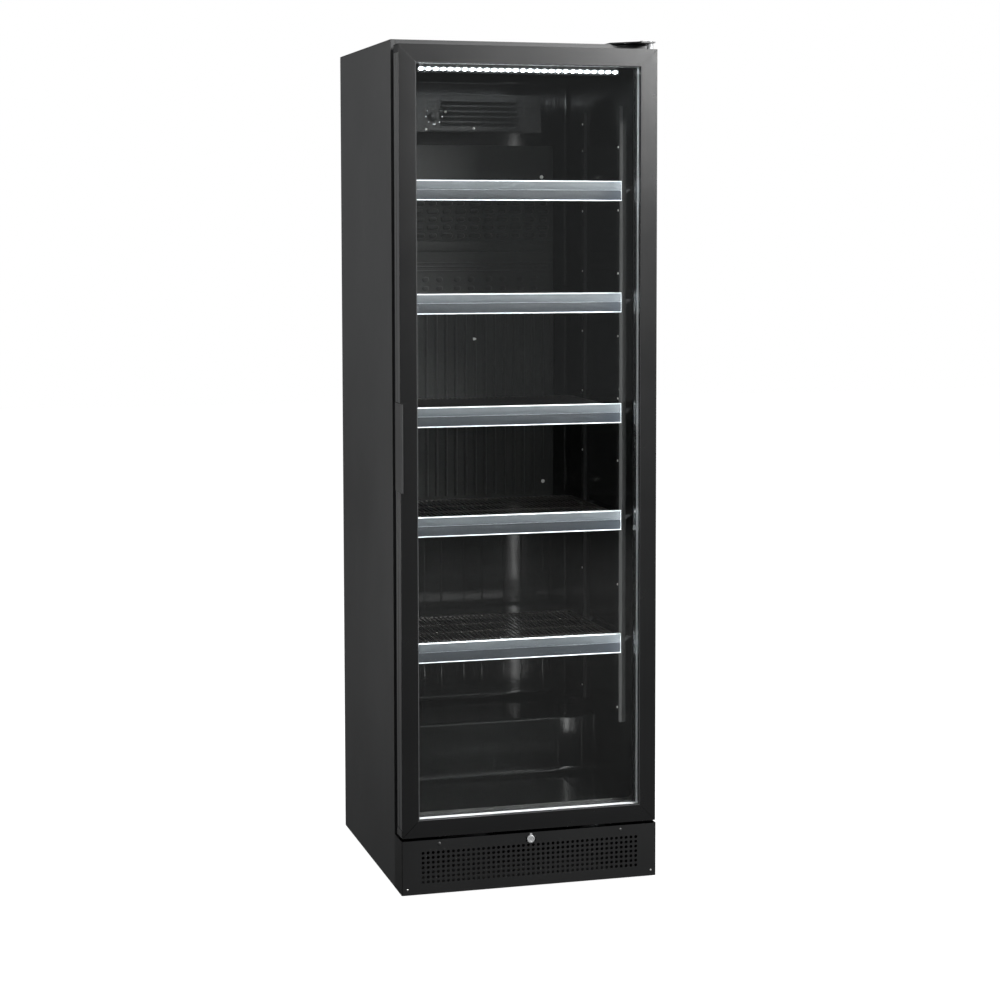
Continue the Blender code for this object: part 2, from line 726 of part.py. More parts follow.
def make_door(door):
    make_stile("door_stile_left", -1, door)
    right = make_stile("door_stile_right", 1, door)
    top = make_rail("door_rail_top", DOOR_TOP, -1, door)
    low = make_rail("door_rail_bottom", DOOR_LOW, 1, door)
    bore = PIN_RADIUS + PIN_ROOM
    depth = PIN_DEPTH + PIN_ROOM
    for piece, ends in ((top, (DOOR_TOP - depth, DOOR_TOP + depth)),
                        (low, (DOOR_LOW - depth, DOOR_LOW + depth))):
        hole = rod(piece.name + "_pin_hole", None, bore, "Z", ends, (PIVOT_X, PIVOT_Y), sides=16,
                   parent=door)
        cut(piece, hole)
        cut(right, hole)

    reach = CAM_REACH + CAM_ROOM
    cam_front = DOOR_FRONT + LOCK_DEPTH + GAP
    pocket = block("cam_pocket", None, (-CAM_HALF_WIDTH - CAM_ROOM, reach),
                   (cam_front - CAM_ROOM, cam_front + CAM_SHEET + CAM_ROOM),
                   (DOOR_LOW - reach, max(LOCK_Z + reach, DOOR_LOW)), door)
    cut(low, pocket)

    edge = FRAME_FACE - GLASS_CHANNEL + GLASS_EDGE_ROOM
    pane_x = DOOR_HALF - edge
    pane_z = (DOOR_LOW + edge, DOOR_TOP - edge)
    outer = DOOR_FRONT + GLASS_SETBACK + GAP
    spacer = outer + GLASS + GAP
    inner = spacer + GLASS_SPACE + GAP
    block("glass_outer", "glass", (-pane_x, pane_x), (outer, outer + GLASS), pane_z, door)
    block("glass_inner", "glass", (-pane_x, pane_x), (inner, inner + GLASS), pane_z, door)
    glass_ring("glass_spacer", "spacer_aluminium", edge, FRAME_FACE + SPACER_SIGHT - edge,
               (spacer, spacer + GLASS_SPACE), door)
    glass_ring("door_gasket", "seal_rubber", SEAL_INSET, SEAL_WIDTH,
               (DOOR_REAR + GAP, CABINET_FRONT - GAP), door)


def make_handle(door):
    leg_inner = -DOOR_HALF - GAP
    outer = leg_inner - HANDLE_SHEET
    tip = DOOR_FRONT - HANDLE_PROJECTION
    face = DOOR_FRONT - GAP
    lip_inner = leg_inner + GAP * 2
    outline = [
        (outer, DOOR_FRONT + HANDLE_WRAP), (outer, tip), (outer + HANDLE_BEAD, tip),
        (outer + HANDLE_BEAD, tip + HANDLE_BEAD), (lip_inner, tip + HANDLE_BEAD),
        (lip_inner, face - HANDLE_SHEET), (-DOOR_HALF + HANDLE_LEG, face - HANDLE_SHEET),
        (-DOOR_HALF + HANDLE_LEG, face), (leg_inner, face), (leg_inner, DOOR_FRONT + HANDLE_WRAP),
    ]
    middle = DOOR_LOW + HANDLE_RISE
    span = (middle - HANDLE_LENGTH / 2, middle + HANDLE_LENGTH / 2)
    extrusion("handle", "black_aluminium", outline, "Z", span, door)


def hinge_outline(tail, right_behind):
    """Plate in plan: its nose over the door, and its tail on the cabinet."""
    left = PIVOT_X - HINGE_REACH
    nose = PIVOT_Y - HINGE_NOSE
    right = PIVOT_X + PIVOT_INSET
    return [
        (left, tail), (left, CABINET_FRONT), (PIVOT_X - HINGE_TAPER, nose), (right, nose),
        (right, CABINET_FRONT - GAP), (right_behind, CABINET_FRONT - GAP), (right_behind, tail),
    ]


def make_hinges():
    tail = CABINET_FRONT + HINGE_TAIL
    bore = PIN_RADIUS + GAP
    pivot = (PIVOT_X, PIVOT_Y)
    plate_low = TOP + GAP
    plate_top = plate_low + HINGE_PLATE
    upper = extrusion("top_hinge_bracket", "zinc_steel",
                      hinge_outline(tail, PIVOT_X + PIVOT_INSET - GAP), "Z",
                      (plate_low, plate_top))
    cut(upper, rod("top_pin_hole", None, bore, "Z", (plate_low - SHEET, plate_top + SHEET), pivot,
                   sides=16))
    head = plate_top + GAP
    collar = PIN_RADIUS * 1.7
    profile = [
        (0.0, head + PIN_HEAD), (collar - PIN_CHAMFER, head + PIN_HEAD),
        (collar, head + PIN_HEAD - PIN_CHAMFER),
        (collar, head), (PIN_RADIUS, head), (PIN_RADIUS, plate_low - GAP),
        (collar, plate_low - GAP), (collar, DOOR_TOP + GAP), (PIN_RADIUS, DOOR_TOP + GAP),
        (PIN_RADIUS, DOOR_TOP - PIN_DEPTH), (0.0, DOOR_TOP - PIN_DEPTH),
    ]
    turned("top_hinge_pin", "chrome", profile, (*pivot, 0.0), steps=16)

    plate_low = (PLINTH_TOP + DOOR_LOW - HINGE_PLATE) / 2
    plate_top = plate_low + HINGE_PLATE
    lower = extrusion("bottom_hinge_bracket", "zinc_steel",
                      hinge_outline(tail, HALF - RETURN - GAP), "Z", (plate_low, plate_top))
    cut(lower, rod("bottom_pin_hole", None, bore, "Z", (plate_low - SHEET, plate_top + SHEET),
                   pivot, sides=16))
    head = plate_low - GAP
    profile = [
        (0.0, DOOR_LOW + PIN_DEPTH), (PIN_RADIUS, DOOR_LOW + PIN_DEPTH),
        (PIN_RADIUS, DOOR_LOW - GAP), (collar, DOOR_LOW - GAP), (collar, plate_top + GAP),
        (PIN_RADIUS, plate_top + GAP), (PIN_RADIUS, head), (collar, head),
        (collar, head - PIN_BOTTOM_HEAD), (0.0, head - PIN_BOTTOM_HEAD),
    ]
    turned("bottom_hinge_pin", "chrome", profile, (*pivot, 0.0), steps=16)


# ---------------------------------------------------------------- interior
def make_pilasters():
    low = STEP_TOP + PILASTER_OVER_STEP
    high = LINER_TOP - PILASTER_UNDER_TOP
    for row, inset in (("front", PILASTER_FRONT_IN), ("rear", PILASTER_REAR_IN)):
        y = CABINET_FRONT + inset
        y0 = y - PILASTER_WIDTH / 2
        y1 = y + PILASTER_WIDTH / 2
        for hand, side in (("left", -1), ("right", 1)):
            wall = side * (LINER_X - GAP)
            face = side * PILASTER_FACE
            web = side * (PILASTER_FACE + PILASTER_SHEET)
            outline = [
                (wall, y0), (face, y0), (face, y1), (wall, y1),
                (wall, y1 - PILASTER_SHEET), (web, y1 - PILASTER_SHEET),
                (web, y0 + PILASTER_SHEET), (wall, y0 + PILASTER_SHEET),
            ]
            extrusion(f"pilaster_{row}_{hand}", "black_paint", outline, "Z", (low, high))


def shelf_heights():
    """Upper faces of the shelves, from the top one down."""
    high = LINER_TOP - TOP_BAY
    low = LINER_FLOOR + LOW_BAY
    pitch = (high - low) / (SHELF_COUNT - 1)
    return [high - index * pitch + CLIP_STEPS[index] * CLIP_STEP for index in range(SHELF_COUNT)]


def make_shelves():
    slot_half = (WIRE_PITCH - WIRE) / 2
    rim = SHELF_RIM
    slots = even_places(-SHELF_HALF + rim + slot_half, SHELF_HALF - rim - slot_half, WIRE_PITCH)
    slot_y = (SHELF_FRONT + rim, SHELF_REAR - rim)
    strip_front = SHELF_FRONT - STRIP_DEPTH - GAP
    strip_rear = SHELF_FRONT - GAP
    strip_half = SHELF_HALF - STRIP_END_IN
    for number, top in enumerate(shelf_heights(), start=1):
        axis = axis_empty(f"shelf_{number}_axis", (0.0, SHELF_FRONT, top))
        shelf = block(f"shelf_{number}", "black_paint", (-SHELF_HALF, SHELF_HALF),
                      (SHELF_FRONT, SHELF_REAR), (top - SHELF_SHEET, top), axis)
        gaps = [((x - slot_half, x + slot_half), slot_y, (top - rim - SHELF_SHEET, top + rim))
                for x in slots]
        cut(shelf, blocks(f"shelf_{number}_gaps", None, gaps, axis))
        high = top + STRIP_RISE
        low = high - STRIP_HEIGHT
        web = strip_front + STRIP_SHEET
        outline = [
            (strip_front, high), (strip_rear, high), (strip_rear, high - STRIP_SHEET),
            (web, high - STRIP_SHEET), (web, low + STRIP_SHEET),
            (web + STRIP_SHEET, low + STRIP_SHEET), (web + STRIP_SHEET, low), (strip_front, low),
        ]
        extrusion(f"price_strip_{number}", "strip_plastic", outline, "X",
                  (-strip_half, strip_half), axis)


def make_light():
    half = LED_WIDTH / 2
    front = CABINET_FRONT + LED_RAIL_IN
    rear = front + LED_RAIL_DEPTH
    top = LINER_TOP - GAP
    slope_low = LINER_TOP - LED_RAIL_DROP
    slope_high = LINER_TOP - LED_RAIL_LIP
    slope_rear = rear - (LED_RAIL_DEPTH - (slope_high - slope_low))
    outline = [(rear, top), (front, top), (front, slope_high), (slope_rear, slope_low),
               (rear, slope_low)]
    extrusion("led_channel", "spacer_aluminium", outline, "X", (-half, half))

    middle = Vector((0.0, (front + slope_rear) / 2, (slope_high + slope_low) / 2))
    outward = Vector((0.0, slope_low - slope_high, front - slope_rear)).normalized()
    shape = bmesh.new()
    turn = Matrix.Rotation(math.atan2(slope_low - slope_high, slope_rear - front), 3, "X")
    add_block(shape, (-half, half), (-LED_BAND / 2, LED_BAND / 2),
              (-LED_SHEET / 2, LED_SHEET / 2), turn)
    strip = add_object("led_strip", mesh_from(shape, "led_strip"), "light_white")
    strip.location = middle + outward * (LED_SHEET / 2 + GAP)


def make_evaporator():
    rear = LINER_BACK - PLATE_STANDOFF
    high = LINER_TOP - PLATE_DROP
    block("evaporator_plate", "dark_coil", (-PLATE_HALF_WIDTH, PLATE_HALF_WIDTH),
          (rear - PLATE_SHEET, rear), (high - PLATE_HEIGHT, high))


def fan_blades(name, finish, hub, radius, chord, y, centre, parent):
    """Hub along Y with flat blades set at an angle, as one body."""
    hub_piece = rod(name, finish, hub, "Y", y, centre, sides=20, parent=parent)
    shape = bmesh.new()
    middle = (y[0] + y[1]) / 2
    pitch = Matrix.Rotation(math.radians(BLADE_PITCH), 4, "X")
    for index in range(FAN_BLADES):
        inner = hub - BLADE_SHEET / 2
        verts = add_block(shape, (inner, radius), (-BLADE_SHEET / 2, BLADE_SHEET / 2),
                          (-chord / 2, chord / 2))
        bmesh.ops.transform(shape, matrix=pitch, verts=verts)
        turn = Matrix.Rotation(2 * math.pi * index / FAN_BLADES, 4, "Y")
        place = Matrix.Translation((centre[0], middle, centre[1]))
        bmesh.ops.transform(shape, matrix=place @ turn, verts=verts)
    blades = add_object(name + "_vanes", mesh_from(shape, name + "_vanes"), None, parent)
    return join(hub_piece, blades)


def make_cold_fan():
    half = COVER_WIDTH / 2
    rear = LINER_BACK - GAP
    cover = block("evaporator_fan_cover", "black_plastic", (-half, half), (COVER_FRONT, rear),
                  (COVER_LOW, COVER_TOP))
    inside = block("fan_cover_inside", None, (-half + COVER_SHEET, half - COVER_SHEET),
                   (COVER_FRONT + COVER_SHEET, rear + COVER_SHEET),
                   (COVER_LOW + COVER_SHEET, COVER_TOP - COVER_SHEET))
    through = (COVER_FRONT - COVER_SHEET, COVER_FRONT + 2 * COVER_SHEET)
    middle = (COVER_LOW + COVER_TOP) / 2
    slots = []
    for row in range(LOUVRE_ROWS):
        z = middle + (row - (LOUVRE_ROWS - 1) / 2) * LOUVRE_PITCH
        for bank in LOUVRE_BANKS:
            slots.append((bank, through, (z - LOUVRE_SLOT / 2, z + LOUVRE_SLOT / 2)))
    dial_z = COVER_LOW + DIAL_RISE
    spindle_hole = rod("spindle_hole", None, SPINDLE_RADIUS + GAP, "Y", through,
                       (DIAL_X, dial_z), sides=12)
    cut(cover, inside, blocks("louvre_slots", None, slots), spindle_hole)

    centre = (COLD_FAN_X, middle)
    blade_y = (COVER_FRONT + COLD_FAN_IN, COVER_FRONT + COLD_FAN_IN + COLD_FAN_DEPTH)
    axis = axis_empty("evaporator_fan_axis", (COLD_FAN_X, blade_y[0], middle))
    fan_blades("evaporator_fan_blades", "grey_plastic", COLD_FAN_HUB, COLD_FAN_RADIUS,
               COLD_FAN_CHORD, blade_y, centre, axis)
    body = COVER_FRONT + COLD_MOTOR_IN
    shaft_end = blade_y[1] + GAP
    motor_end = rear - GAP
    profile = [
        (0.0, 0.0), (MOTOR_SHAFT, 0.0), (MOTOR_SHAFT, shaft_end - body),
        (COLD_MOTOR_RADIUS - COLD_MOTOR_CHAMFER, shaft_end - body),
        (COLD_MOTOR_RADIUS, shaft_end - body - COLD_MOTOR_CHAMFER),
        (COLD_MOTOR_RADIUS, shaft_end - motor_end), (0.0, shaft_end - motor_end),
    ]
    turned("evaporator_fan_motor", "zinc_steel", profile, (COLD_FAN_X, shaft_end, middle),
           axis="Y", steps=16)

    behind = COVER_FRONT + COVER_SHEET + GAP
    block("thermostat_body", "grey_plastic", (DIAL_X - THERMOSTAT_HALF, DIAL_X + THERMOSTAT_HALF),
          (behind, behind + THERMOSTAT_DEPTH),
          (dial_z - THERMOSTAT_HALF, dial_z + THERMOSTAT_HALF))
    dial_axis = axis_empty("dial_axis", (DIAL_X, COVER_FRONT, dial_z))
    knob_rear = COVER_FRONT - DIAL_ROOM
    knob_front = knob_rear - DIAL_LENGTH
    profile = [
        (0.0, 0.0), (DIAL_RADIUS * 0.82, 0.0), (DIAL_RADIUS * 0.9, -DIAL_CROWN),
        (DIAL_RADIUS, knob_front - knob_rear), (SPINDLE_RADIUS, knob_front - knob_rear),
        (SPINDLE_RADIUS, knob_front - behind + GAP), (0.0, knob_front - behind + GAP),
    ]
    turned("thermostat_knob", "grey_plastic", profile, (DIAL_X, knob_front, dial_z), axis="Y",
           steps=20, parent=dial_axis)


# ---------------------------------------------------------------- compressor room
def make_compressor():
    y = BACK - MACHINE_MIDDLE_IN
    low = TRAY_TOP + GAP
    radius = COMPRESSOR_RADIUS
    height = COMPRESSOR_HEIGHT
    crown = radius * COMPRESSOR_DOME
    dome = [(radius * math.cos(math.radians(a)), height - crown
             + crown * math.sin(math.radians(a))) for a in range(75, -1, -25)]
    seam, middle = radius + COMPRESSOR_SEAM, height * COMPRESSOR_SEAM_AT
    foot, reach = COMPRESSOR_FOOT, radius * COMPRESSOR_FOOT_REACH
    profile = [(0.0, height), *dome, (radius, middle + height * 0.03), (seam, middle + height * 0.02),
               (seam, middle - height * 0.02), (radius, middle - height * 0.03),
               (radius * 0.93, height * 0.20), (crown, height * 0.10), (crown, foot), (reach, foot),
               (reach, 0.0), (0.0, 0.0)]
    turned("compressor", "black_paint", profile, (COMPRESSOR_X, y, low), steps=24)


def make_condenser():
    x = (CONDENSER_X - CONDENSER_WIDTH / 2, CONDENSER_X + CONDENSER_WIDTH / 2)
    front = BACK - CONDENSER_IN
    rear = front + CONDENSER_DEPTH
    z = (TRAY_TOP + GAP, TRAY_TOP + GAP + CONDENSER_HEIGHT)
    coil = block("condenser_coil", "dark_coil", x, (front, rear), z)
    gap_half = (FIN_PITCH - FIN_SHEET) / 2
    channels = [((middle - gap_half, middle + gap_half), (front - FIN_SHEET, rear - COIL_REAR_WALL),
                 (z[0] + COIL_END, z[1] - COIL_END))
                for middle in even_places(x[0] + COIL_SIDE, x[1] - COIL_SIDE, FIN_PITCH)]
    cut(coil, blocks("condenser_channels", None, channels))

    shroud_y = (rear + GAP, rear + GAP + SHROUD_DEPTH)
    centre = (CONDENSER_X, (z[0] + z[1]) / 2)
    shroud = block("condenser_fan_shroud", "grey_plastic", x, shroud_y, z)
    cut(shroud, rod("shroud_mouth", None, HOT_FAN_RADIUS + FAN_ROOM, "Y",
                    (shroud_y[0] - FAN_ROOM, shroud_y[1] + FAN_ROOM), centre, sides=28))
    axis = axis_empty("condenser_fan_axis", (centre[0], shroud_y[0], centre[1]))
    fan_blades("condenser_fan_blades", "grey_plastic", HOT_FAN_HUB, HOT_FAN_RADIUS, HOT_FAN_CHORD,
               (shroud_y[0] + HOT_FAN_INSET, shroud_y[1] - HOT_FAN_INSET), centre, axis)

    motor_y = (shroud_y[1] + GAP, shroud_y[1] + HOT_MOTOR_LENGTH)
    motor = rod("condenser_fan_motor", "zinc_steel", HOT_MOTOR_RADIUS, "Y", motor_y, centre,
                sides=20)
    strut = block("motor_strut", None, (x[0] + STRUT_END_IN, x[1] - STRUT_END_IN),
                  (motor_y[0], motor_y[0] + STRUT_SHEET),
                  (centre[1] - STRUT_WIDTH / 2, centre[1] + STRUT_WIDTH / 2))
    join(motor, strut)


def make_drip_tray():
    y = BACK - MACHINE_MIDDLE_IN
    half = COMPRESSOR_RADIUS
    low = TRAY_TOP + COMPRESSOR_HEIGHT + TRAY_OVER_COMPRESSOR
    high = low + TRAY_WATER_DEPTH
    x = (COMPRESSOR_X - half, COMPRESSOR_X + half)
    tray = block("drip_tray", "grey_plastic", x, (y - half, y + half), (low, high))
    wall = TRAY_WATER_WALL
    cut(tray, block("drip_tray_inside", None, (x[0] + wall, x[1] - wall),
                    (y - half + wall, y + half - wall), (low + wall, high + wall)))


def make_pipes():
    y = BACK - MACHINE_MIDDLE_IN
    port = COMPRESSOR_X + COMPRESSOR_RADIUS + PIPE_RADIUS
    coil_end = CONDENSER_X - CONDENSER_WIDTH / 2 - GAP
    coil_y = BACK - CONDENSER_IN + CONDENSER_DEPTH / 2
    low = TRAY_TOP
    route = [
        (port, y - 0.020, low + 0.100), (port + 0.012, y - 0.022, low + 0.102),
        (port + 0.022, y - 0.030, low + 0.125), (port + 0.026, y - 0.045, low + 0.150),
        (port + 0.028, coil_y + 0.010, low + 0.160), (port + 0.034, coil_y, low + 0.160),
        (coil_end, coil_y, low + 0.160),
    ]
    tube("discharge_pipe", "copper", smooth_route(route, 4), PIPE_RADIUS)
    roof = ROOM_HIGH - GAP
    route = [
        (port, y + 0.030, low + 0.090), (port + 0.012, y + 0.032, low + 0.092),
        (port + 0.022, y + 0.040, low + 0.115), (port + 0.024, y + 0.048, low + 0.160),
        (port + 0.024, y + 0.050, roof - 0.040), (port + 0.024, y + 0.050, roof),
    ]
    tube("suction_pipe", "copper", smooth_route(route, 4), PIPE_RADIUS)


def make_rear_grille():
    inner = HALF - SHEET - GAP
    y = (BACK - REAR_GRILLE_IN - SHEET, BACK - REAR_GRILLE_IN)
    top = BASE + REAR_GRILLE_HEIGHT
    grille = block("rear_grille", "black_paint", (-inner, inner), y, (BASE, top))
    through = (y[0] - SHEET, y[1] + SHEET)
    slots = []
    first = top - (REAR_SLOT_ROWS + 1) * REAR_SLOT_PITCH
    for row in range(REAR_SLOT_ROWS):
        z = first + row * REAR_SLOT_PITCH
        for x in (COMPRESSOR_X, CONDENSER_X):
            slots.append(((x - REAR_SLOT_LENGTH / 2, x + REAR_SLOT_LENGTH / 2), through,
                          (z - REAR_SLOT / 2, z + REAR_SLOT / 2)))
    cut(grille, blocks("rear_slots", None, slots))
    inlet_z = BASE + INLET_RISE
    neck = INLET_RADIUS * INLET_NECK
    cut(grille, rod("inlet_hole", None, neck + GAP, "Y", through, (INLET_X, inlet_z), sides=16))
    rear = y[1] + GAP
    end = BACK - GAP
    front = y[0] - INLET_IN
    profile = [
        (0.0, 0.0), (neck, 0.0), (neck, front - rear), (INLET_RADIUS, front - rear),
        (INLET_RADIUS, front - end + INLET_LIP), (neck, front - end), (0.0, front - end),
    ]
    turned("mains_inlet", "grey_plastic", profile, (INLET_X, front, inlet_z), axis="Y", steps=16)


make_side_panels()
make_top_panel()
make_back_panel()
make_liner_and_foam()
make_front_frame()
make_base()
make_plinth()
make_lock()
door_axis = axis_empty("door_axis", (PIVOT_X, PIVOT_Y, DOOR_LOW))
make_door(door_axis)
make_handle(door_axis)
make_hinges()
make_pilasters()
make_shelves()
make_light()
make_evaporator()
make_cold_fan()
make_compressor()
make_condenser()
make_drip_tray()
make_pipes()
make_rear_grille()
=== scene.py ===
import math

import bmesh
import bpy
from mathutils import Matrix, Vector


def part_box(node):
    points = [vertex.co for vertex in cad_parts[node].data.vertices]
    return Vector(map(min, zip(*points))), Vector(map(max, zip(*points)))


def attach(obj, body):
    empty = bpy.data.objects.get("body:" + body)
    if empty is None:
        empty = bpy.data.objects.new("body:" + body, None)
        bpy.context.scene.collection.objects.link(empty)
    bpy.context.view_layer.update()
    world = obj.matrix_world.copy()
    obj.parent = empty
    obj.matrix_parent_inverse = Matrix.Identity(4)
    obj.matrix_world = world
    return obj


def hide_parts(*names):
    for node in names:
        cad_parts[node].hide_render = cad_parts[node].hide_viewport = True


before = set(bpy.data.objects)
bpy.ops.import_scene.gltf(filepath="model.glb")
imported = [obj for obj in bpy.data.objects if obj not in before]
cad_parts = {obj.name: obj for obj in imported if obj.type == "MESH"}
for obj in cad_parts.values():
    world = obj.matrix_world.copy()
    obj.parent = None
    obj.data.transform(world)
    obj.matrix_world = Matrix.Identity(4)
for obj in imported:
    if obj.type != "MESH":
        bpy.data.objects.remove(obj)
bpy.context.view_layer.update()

# Sizes in metres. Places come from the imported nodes.
THIN = 0.0003                   # clearance between pieces that touch
WELD = 0.00001                  # corners nearer than this become one
SHEET_METAL = 0.0012
LINER_WALL = 0.002
LINER_EDGE_RADIUS = 0.010       # floor, roof and side walls
LINER_CORNER_RADIUS = 0.018     # back wall and the step's foot
STEP_EDGE_RADIUS = 0.010
STEP_TOP = 0.317
STEP_FRONT = 0.028
RIB_RADIUS = 0.0032
RIB_SUNK = 0.0004
STEP_RIBS = (-0.158, -0.109, -0.079, -0.028, 0.0015, 0.052, 0.082, 0.162, 0.223)
BACK_RIBS = (-0.209, -0.166, -0.108, -0.065, -0.008, 0.038, 0.095, 0.139, 0.196)
BACK_RIB_TOP = 0.800
BACK_PANELS_X = (-0.188, -0.0865, 0.015, 0.117)
BACK_PANELS_Z = ((0.532, 0.594), (0.639, 0.727))
PLINTH_HOLE_RADIUS = 0.0035
PLINTH_COLUMNS = 44
PLINTH_ROWS = 7
PLINTH_HOLES_X = 0.249          # middle of the plinth to its last column
PLINTH_HOLES_Z = (0.0355, 0.1012)
PLINTH_RETURN_RADIUS = 0.003
PLINTH_TOP_SCREWS = (0.2117, 0.1205)
PLINTH_LOW_SCREWS = (0.2848, 0.021)
LOCK_HOLE = 0.0074
LOCK_HOLE_ROOM = 0.0079         # half the height of the plain row round the lock
LOCK_HOLE_SIDES = 0.0105
LOCK_BORE = 0.0053
SEAL_WIDTH = 0.017
HANDLE_SCREW_PITCH = 0.0817
CAP_PROUD = 0.0006
CAP_REACH = 0.016
SPACER_DOT_PITCH = 0.0036
SPACER_DOT = 0.0007
SLOT_PITCH = 0.013
SLOT_LENGTH = 0.0085
SLOT_WIDTH = 0.0035
WALL_SCREW_FIRST = 0.371
WALL_SCREW_PITCH = 0.1446
WALL_SCREWS = 10
WALL_SCREW_LAST = 1.736         # rear rails only
WIRE_PITCH = 0.0115
WIRE_RADIUS = 0.00175
FRAME_WIRE_RADIUS = 0.0032
STRIP_LIP = 0.0016
STRIP_SPLIT = 0.54              # the lower band's share of the strip's height
CLIP_WIDTH = 0.009
CLIP_REACH = 0.012
LED_COUNT = 28
LED_PITCH = 0.01667
LED_RADIUS = 0.0048
PAD_HEIGHT = 0.0126             # embossed pads on the cooling plate
PAD_STEP_X = 0.0348
PAD_STEP_Z = 0.0196
PAD_FIRST = (-0.1914, 1.4685)
CHANNEL_PITCH = 0.0245
CHANNEL_TOP = 1.302
PLATE_SCREWS = ((0.017, 1.216), (0.188, 1.612), (0.191, 0.860), (-0.188, 1.612), (-0.191, 0.860))
LOUVRE_PITCH = 0.0125
DIAL_RING = 0.020               # the marks' distance from the dial's middle
DIAL_STEP = 42                  # degrees between marks
SCREW_RADIUS = 0.0042
FLOOR_REACH = 14.0
WHITE = (1.0, 1.0, 1.0, 1.0)


def add_node(tree, kind, inputs=(), **settings):
    """A node with its settings; each input is linked from a socket or given a value."""
    node = tree.nodes.new(kind)
    for key, value in settings.items():
        setattr(node, key, value)
    for label, value in dict(inputs).items():
        if isinstance(value, bpy.types.NodeSocket):
            tree.links.new(value, node.inputs[label])
        else:
            node.inputs[label].default_value = value
    return node


def math_node(tree, operation, *values):
    return add_node(tree, "ShaderNodeMath", enumerate(values), operation=operation).outputs[0]


def put_in_scene(name, data):
    obj = bpy.data.objects.new(name, data)
    bpy.context.scene.collection.objects.link(obj)
    return obj


# ---------------------------------------------------------------- camera, light and floor
def make_camera():
    data = bpy.data.cameras.new("camera")
    data.lens = 83.26
    data.sensor_width = 36.0
    data.shift_x = -0.06
    data.shift_y = -0.10
    data.clip_end = 100.0
    camera = put_in_scene("camera", data)
    camera.location = (-1.3934, -5.2395, 1.4931)
    camera.rotation_euler = (math.pi / 2 - 0.0753, 0.0, -0.2883)
    bpy.context.scene.camera = camera


def soft_light(name, place, target, size, power, shade=(1.0, 1.0, 1.0), in_gloss=True):
    data = bpy.data.lights.new(name, "AREA")
    data.shape = "RECTANGLE"
    data.size, data.size_y = size
    data.energy = power
    data.color = shade
    light = put_in_scene(name, data)
    light.location = place
    light.rotation_euler = (Vector(target) - Vector(place)).to_track_quat("-Z", "Y").to_euler()
    light.visible_camera = False
    light.visible_transmission = False
    light.visible_glossy = in_gloss


def seen_straight(tree):
    """One where the eye sees a thing directly or through clear glass, else nought."""
    path = add_node(tree, "ShaderNodeLightPath").outputs
    bounces = math_node(tree, "ADD", path["Diffuse Depth"], path["Glossy Depth"])
    through = math_node(tree, "MULTIPLY", path["Is Transmission Ray"],
                        math_node(tree, "LESS_THAN", bounces, 0.5))
    return math_node(tree, "MAXIMUM", path["Is Camera Ray"], through)


def make_studio():
    """White surroundings that stay dark in the gloss."""
    world = bpy.data.worlds.new("studio")
    bpy.context.scene.world = world
    world.use_nodes = True
    tree = world.node_tree
    tree.nodes.clear()
    plain = add_node(tree, "ShaderNodeBackground", {"Color": WHITE, "Strength": 1.0})
    gloss = add_node(tree, "ShaderNodeBackground",
                     {"Color": (0.95, 0.98, 1.0, 1.0), "Strength": 0.10})
    mix = add_node(tree, "ShaderNodeMixShader",
                   {"Fac": seen_straight(tree), 1: gloss.outputs[0], 2: plain.outputs[0]})
    add_node(tree, "ShaderNodeOutputWorld", {0: mix.outputs[0]})

    soft_light("key", (2.9, -5.0, 3.3), (0.2, -0.3, 1.8), (1.5, 1.7), 500.0)
    soft_light("side_fill", (-4.2, 2.6, 2.6), (-0.3, 0.0, 1.2), (2.4, 2.4), 98.0)
    soft_light("side_low", (-2.6, 1.6, 0.45), (-0.3, 0.0, 0.0), (1.2, 0.7), 17.0)
    soft_light("front_fill", (-2.6, -4.6, 2.4), (0.0, -0.2, 0.8), (2.0, 2.4), 8.0)
    soft_light("overhead", (0.0, -0.6, 4.6), (0.0, 0.1, 0.0), (4.0, 3.4), 110.0)
    low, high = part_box("price_strip_3")
    soft_light("cabinet_fill", (0.0, high.y + 0.002, 1.0), (0.0, 1.0, 1.0), (0.48, 1.5), 1.0,
               in_gloss=False)
    soft_light("strip_light", (0.257, low.y - 0.034, 1.0), (0.0, low.y + 0.05, 1.0), (0.006, 1.4),
               4.4, in_gloss=False)
    soft_light("right_line", (0.252, -0.200, 0.98), (0.250, 1.0, 0.98), (0.006, 1.5), 0.32)
    soft_light("low_line", (0.0, -0.19, 0.500), (0.0, 0.10, 0.24), (0.44, 0.006), 0.10)
    low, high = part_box("led_channel")
    soft_light("cabinet_light", (0.0, (low.y + high.y) / 2 + 0.006, low.z - 0.006),
               (0.0, high.y + 0.10, 1.0), (0.46, 0.012), 0.75, (0.92, 0.97, 1.0))

    sheet = bpy.data.meshes.new("floor")
    corners = ((-1, -1), (1, -1), (1, 1), (-1, 1))
    sheet.from_pydata([(FLOOR_REACH * x, FLOOR_REACH * y, 0.0) for x, y in corners], [],
                      [(0, 1, 2, 3)])
    paint = bpy.data.materials.new("pale_floor")
    paint.use_nodes = True
    tree = paint.node_tree
    tree.nodes.clear()
    white = add_node(tree, "ShaderNodeBsdfDiffuse", {"Color": (0.22, 0.22, 0.22, 1.0)})
    glow = add_node(tree, "ShaderNodeEmission", {"Strength": 0.985})
    dark = add_node(tree, "ShaderNodeBsdfDiffuse", {"Color": (0.05, 0.05, 0.05, 1.0)})
    both = add_node(tree, "ShaderNodeAddShader", {0: white.outputs[0], 1: glow.outputs[0]})
    mix = add_node(tree, "ShaderNodeMixShader",
                   {"Fac": seen_straight(tree), 1: dark.outputs[0], 2: both.outputs[0]})
    add_node(tree, "ShaderNodeOutputMaterial", {0: mix.outputs[0]})
    sheet.materials.append(paint)
    put_in_scene("floor", sheet)
    bpy.context.scene.view_settings.view_transform = "Standard"


